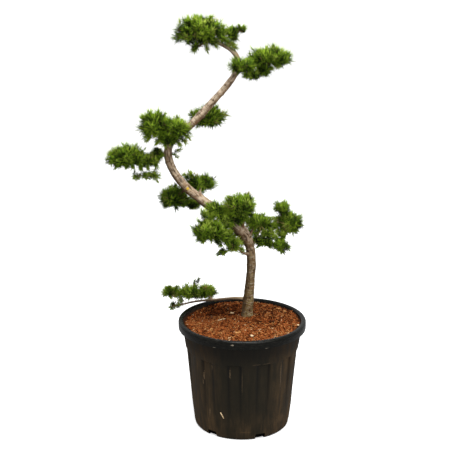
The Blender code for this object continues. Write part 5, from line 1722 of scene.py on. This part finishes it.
# %% [markdown]
# ### Needles
#
# A needle is a thin three-edged sliver: one point at its root, one at its tip and two at its
# widest, so four faces close it. It bows a little and is a touch wider than life, because
# a real one would be lost at this distance. A spray opens its needles from nearly straight
# ahead to nearly square, turned by the golden angle. A needle that would reach outside the
# tree's box is shortened, and one that would enter a limb or another cloud is left out. Only
# the needles of placed shoots may cross into another cloud.

# %% Shape all the needles of a cloud at once
NEEDLES = 13  # on each spray
NEEDLE_LENGTH, LENGTHS = 0.0300, (0.62, 1.0)
NEEDLE_WIDTH = 0.0031
NEEDLE_BOW = 0.05
WIDEST = 0.36  # the share of its length where a needle is widest
ROOT_OUT = 0.0010  # needles start this far from the middle of their knob
OPENING_POWER, OPENING_CHANCE, TURN_CHANCE = 0.7, 0.10, 0.15
SHORTEST = 0.35  # a needle that the box cuts to less than this share is left out
NEEDLE_FACES = np.array([(0, 1, 2), (3, 2, 1), (0, 3, 1), (0, 2, 3)])
BOX_MARGIN = 0.0003
BOX_LOW, BOX_HIGH = np.array(CAD_BOX[0]) + BOX_MARGIN, np.array(CAD_BOX[1]) - BOX_MARGIN


def needle_points(places, headings, sizes, widths, first, last, rng):
    """Root, two middle points and tip of each needle: (spray, needle, 4, xyz)."""
    count = len(places)
    side, up = across(headings)
    k = np.arange(NEEDLES)
    opened = first[:, None] + (last - first)[:, None] * ((k + 0.5) / NEEDLES) ** OPENING_POWER
    polar = np.radians(opened) + rng.normal(0, OPENING_CHANCE, (count, NEEDLES))
    turn = k * GOLDEN + rng.uniform(0, math.tau, (count, 1))
    turn = turn + rng.normal(0, TURN_CHANCE, (count, NEEDLES))
    ring = side[:, None] * np.cos(turn)[..., None] + up[:, None] * np.sin(turn)[..., None]
    way = headings[:, None] * np.cos(polar)[..., None] + ring * np.sin(polar)[..., None]
    long = NEEDLE_LENGTH * sizes[:, None] * rng.uniform(*LENGTHS, (count, NEEDLES))
    root = places[:, None] + way * ROOT_OUT
    tip = root + way * long[..., None]
    pull = np.where(tip > BOX_HIGH, (BOX_HIGH - root) / (tip - root), 1.0)
    pull = np.minimum(pull, np.where(tip < BOX_LOW, (BOX_LOW - root) / (tip - root), 1.0))
    pull = np.clip(pull.min(axis=-1), 0.0, 1.0)
    long, tip = long * pull, root + way * (long * pull)[..., None]
    flat, bow = across(way)
    middle = root + way * (long * WIDEST)[..., None] + bow * (long * NEEDLE_BOW)[..., None]
    half = flat * (NEEDLE_WIDTH / 2) * widths[:, None, None]
    points = np.stack([root, middle - half, middle + half, tip], axis=2)
    return points, pull > SHORTEST


# %% Greens
NEEDLE_TONES = {  # name: (base colour, how much light a spray of this tone needs)
    "needles_shade": ((0.024, 0.046, 0.004), -math.inf),
    "needles_deep": ((0.098, 0.176, 0.010), 0.05),
    "needles_leaf_green": ((0.212, 0.348, 0.020), 0.36),
    "needles_bright": ((0.310, 0.450, 0.034), 0.70),
    "needles_fresh": ((0.430, 0.550, 0.080), 1.10),
    "needles_straw": ((0.480, 0.380, 0.130), math.inf),
}
STRAW_SHARE = 0.014
TONE_CHANCE = 0.12
CLOUDS_IN_SHADE = {  # name: how much darker its greens are, or lighter below zero
    "pad_crown": 0.08, "pad_upper": 0.10, "pad_upper_back": 0.08, "pad_bend": 0.04,
    "pad_back_left": 0.24, "pad_back_right": 0.10, "pad_low": -0.16,
    "pad_low_tip": -0.40, "pad_far_sprig": -0.40, "pad_front_sprig": -0.25,
}

needle_materials = []
for name, (green, _) in NEEDLE_TONES.items():
    material = bpy.data.materials.new(name)
    material.use_nodes = True
    needle_shader = material.node_tree.nodes["Principled BSDF"]
    needle_shader.inputs["Base Color"].default_value = (*green, 1)
    needle_shader.inputs["Roughness"].default_value = 0.6
    needle_shader.inputs["Specular IOR Level"].default_value = 0.12
    needle_materials.append(material)


def tones_of(light, rng):
    """Each spray's green, with a little chance in it."""
    needs = [need for _, need in NEEDLE_TONES.values()]
    tones = np.searchsorted(needs, light + rng.normal(0, TONE_CHANCE, len(light))) - 1
    return np.where(rng.random(len(light)) < STRAW_SHARE, len(needs) - 1, tones)


print("greens:", ", ".join(NEEDLE_TONES))

# %% Twig bark
TWIG_BROWN, TWIG_TAN = (0.150, 0.072, 0.034), (0.330, 0.215, 0.115)

twig_bark, tree, shader, place = new_material("twig_bark", 0.8, 0.3)
tint = patch_mask(tree, place, (1, 1, 1), 60.0, 0.5, 0.2, 4.0)
tree.links.new(mixed(tree, tint, TWIG_BROWN, TWIG_TAN), shader.inputs["Base Color"])
tree.links.new(bumped(tree, place, (1, 1, 1), 500.0, 0.4, 0.0006), shader.inputs["Normal"])

# %% Grow every cloud
TWIG_SIDES = 4
total_needles = 0
for index, (name, (_, lobes)) in enumerate(MASSES.items()):
    stems, sprays = grow_cloud(name, index)
    rng = np.random.default_rng(SEED + index)
    lines = np.array([[tuple(p) for p in line] for line, _, _ in stems])
    share = np.linspace(0, 1, STEM_STEPS)
    radii = np.array([root + (tip - root) * share for _, root, tip in stems])
    points, faces, _ = tubes(lines, radii, TWIG_SIDES)
    label = name.replace("pad_", "")
    twigs = mesh_from_arrays(f"twigs_{label}", points, faces)
    finished(twigs, [twig_bark], "bark")

    places, headings = (np.array([tuple(spray[k]) for spray in sprays]) for k in (0, 1))
    light, held, *looks = np.array([spray[2:] for spray in sprays]).T
    sizes, widths, share_kept, first, last = looks
    tones = tones_of(light - CLOUDS_IN_SHADE.get(name, 0.0), rng)
    points, kept = needle_points(places, unit(headings), sizes, widths, first, last, rng)
    kept &= rng.random(kept.shape) < share_kept[:, None]
    tips, middles = points[:, :, 3].reshape(-1, 3), points[:, :, 1:3].mean(axis=2).reshape(-1, 3)
    free = np.repeat(held == FREE, NEEDLES)
    kept = kept.ravel() & (free | in_own_space(tips, name))
    kept &= clear_of_limbs(tips, lobes) & clear_of_limbs(middles, lobes)
    points = points.reshape(-1, 4, 3)[kept]
    tones = np.repeat(tones, NEEDLES)[kept]
    shift = np.arange(len(points))[:, None, None] * 4
    faces = (NEEDLE_FACES + shift).reshape(-1, 3)
    tones = np.repeat(tones, len(NEEDLE_FACES))
    needles = mesh_from_arrays(f"needles_{label}", points.reshape(-1, 3), faces, tones)
    finished(needles, needle_materials, "needles", name)
    total_needles += len(points)
    print(f"  {name}: {len(sprays)} sprays")
print("needles in all:", total_needles)
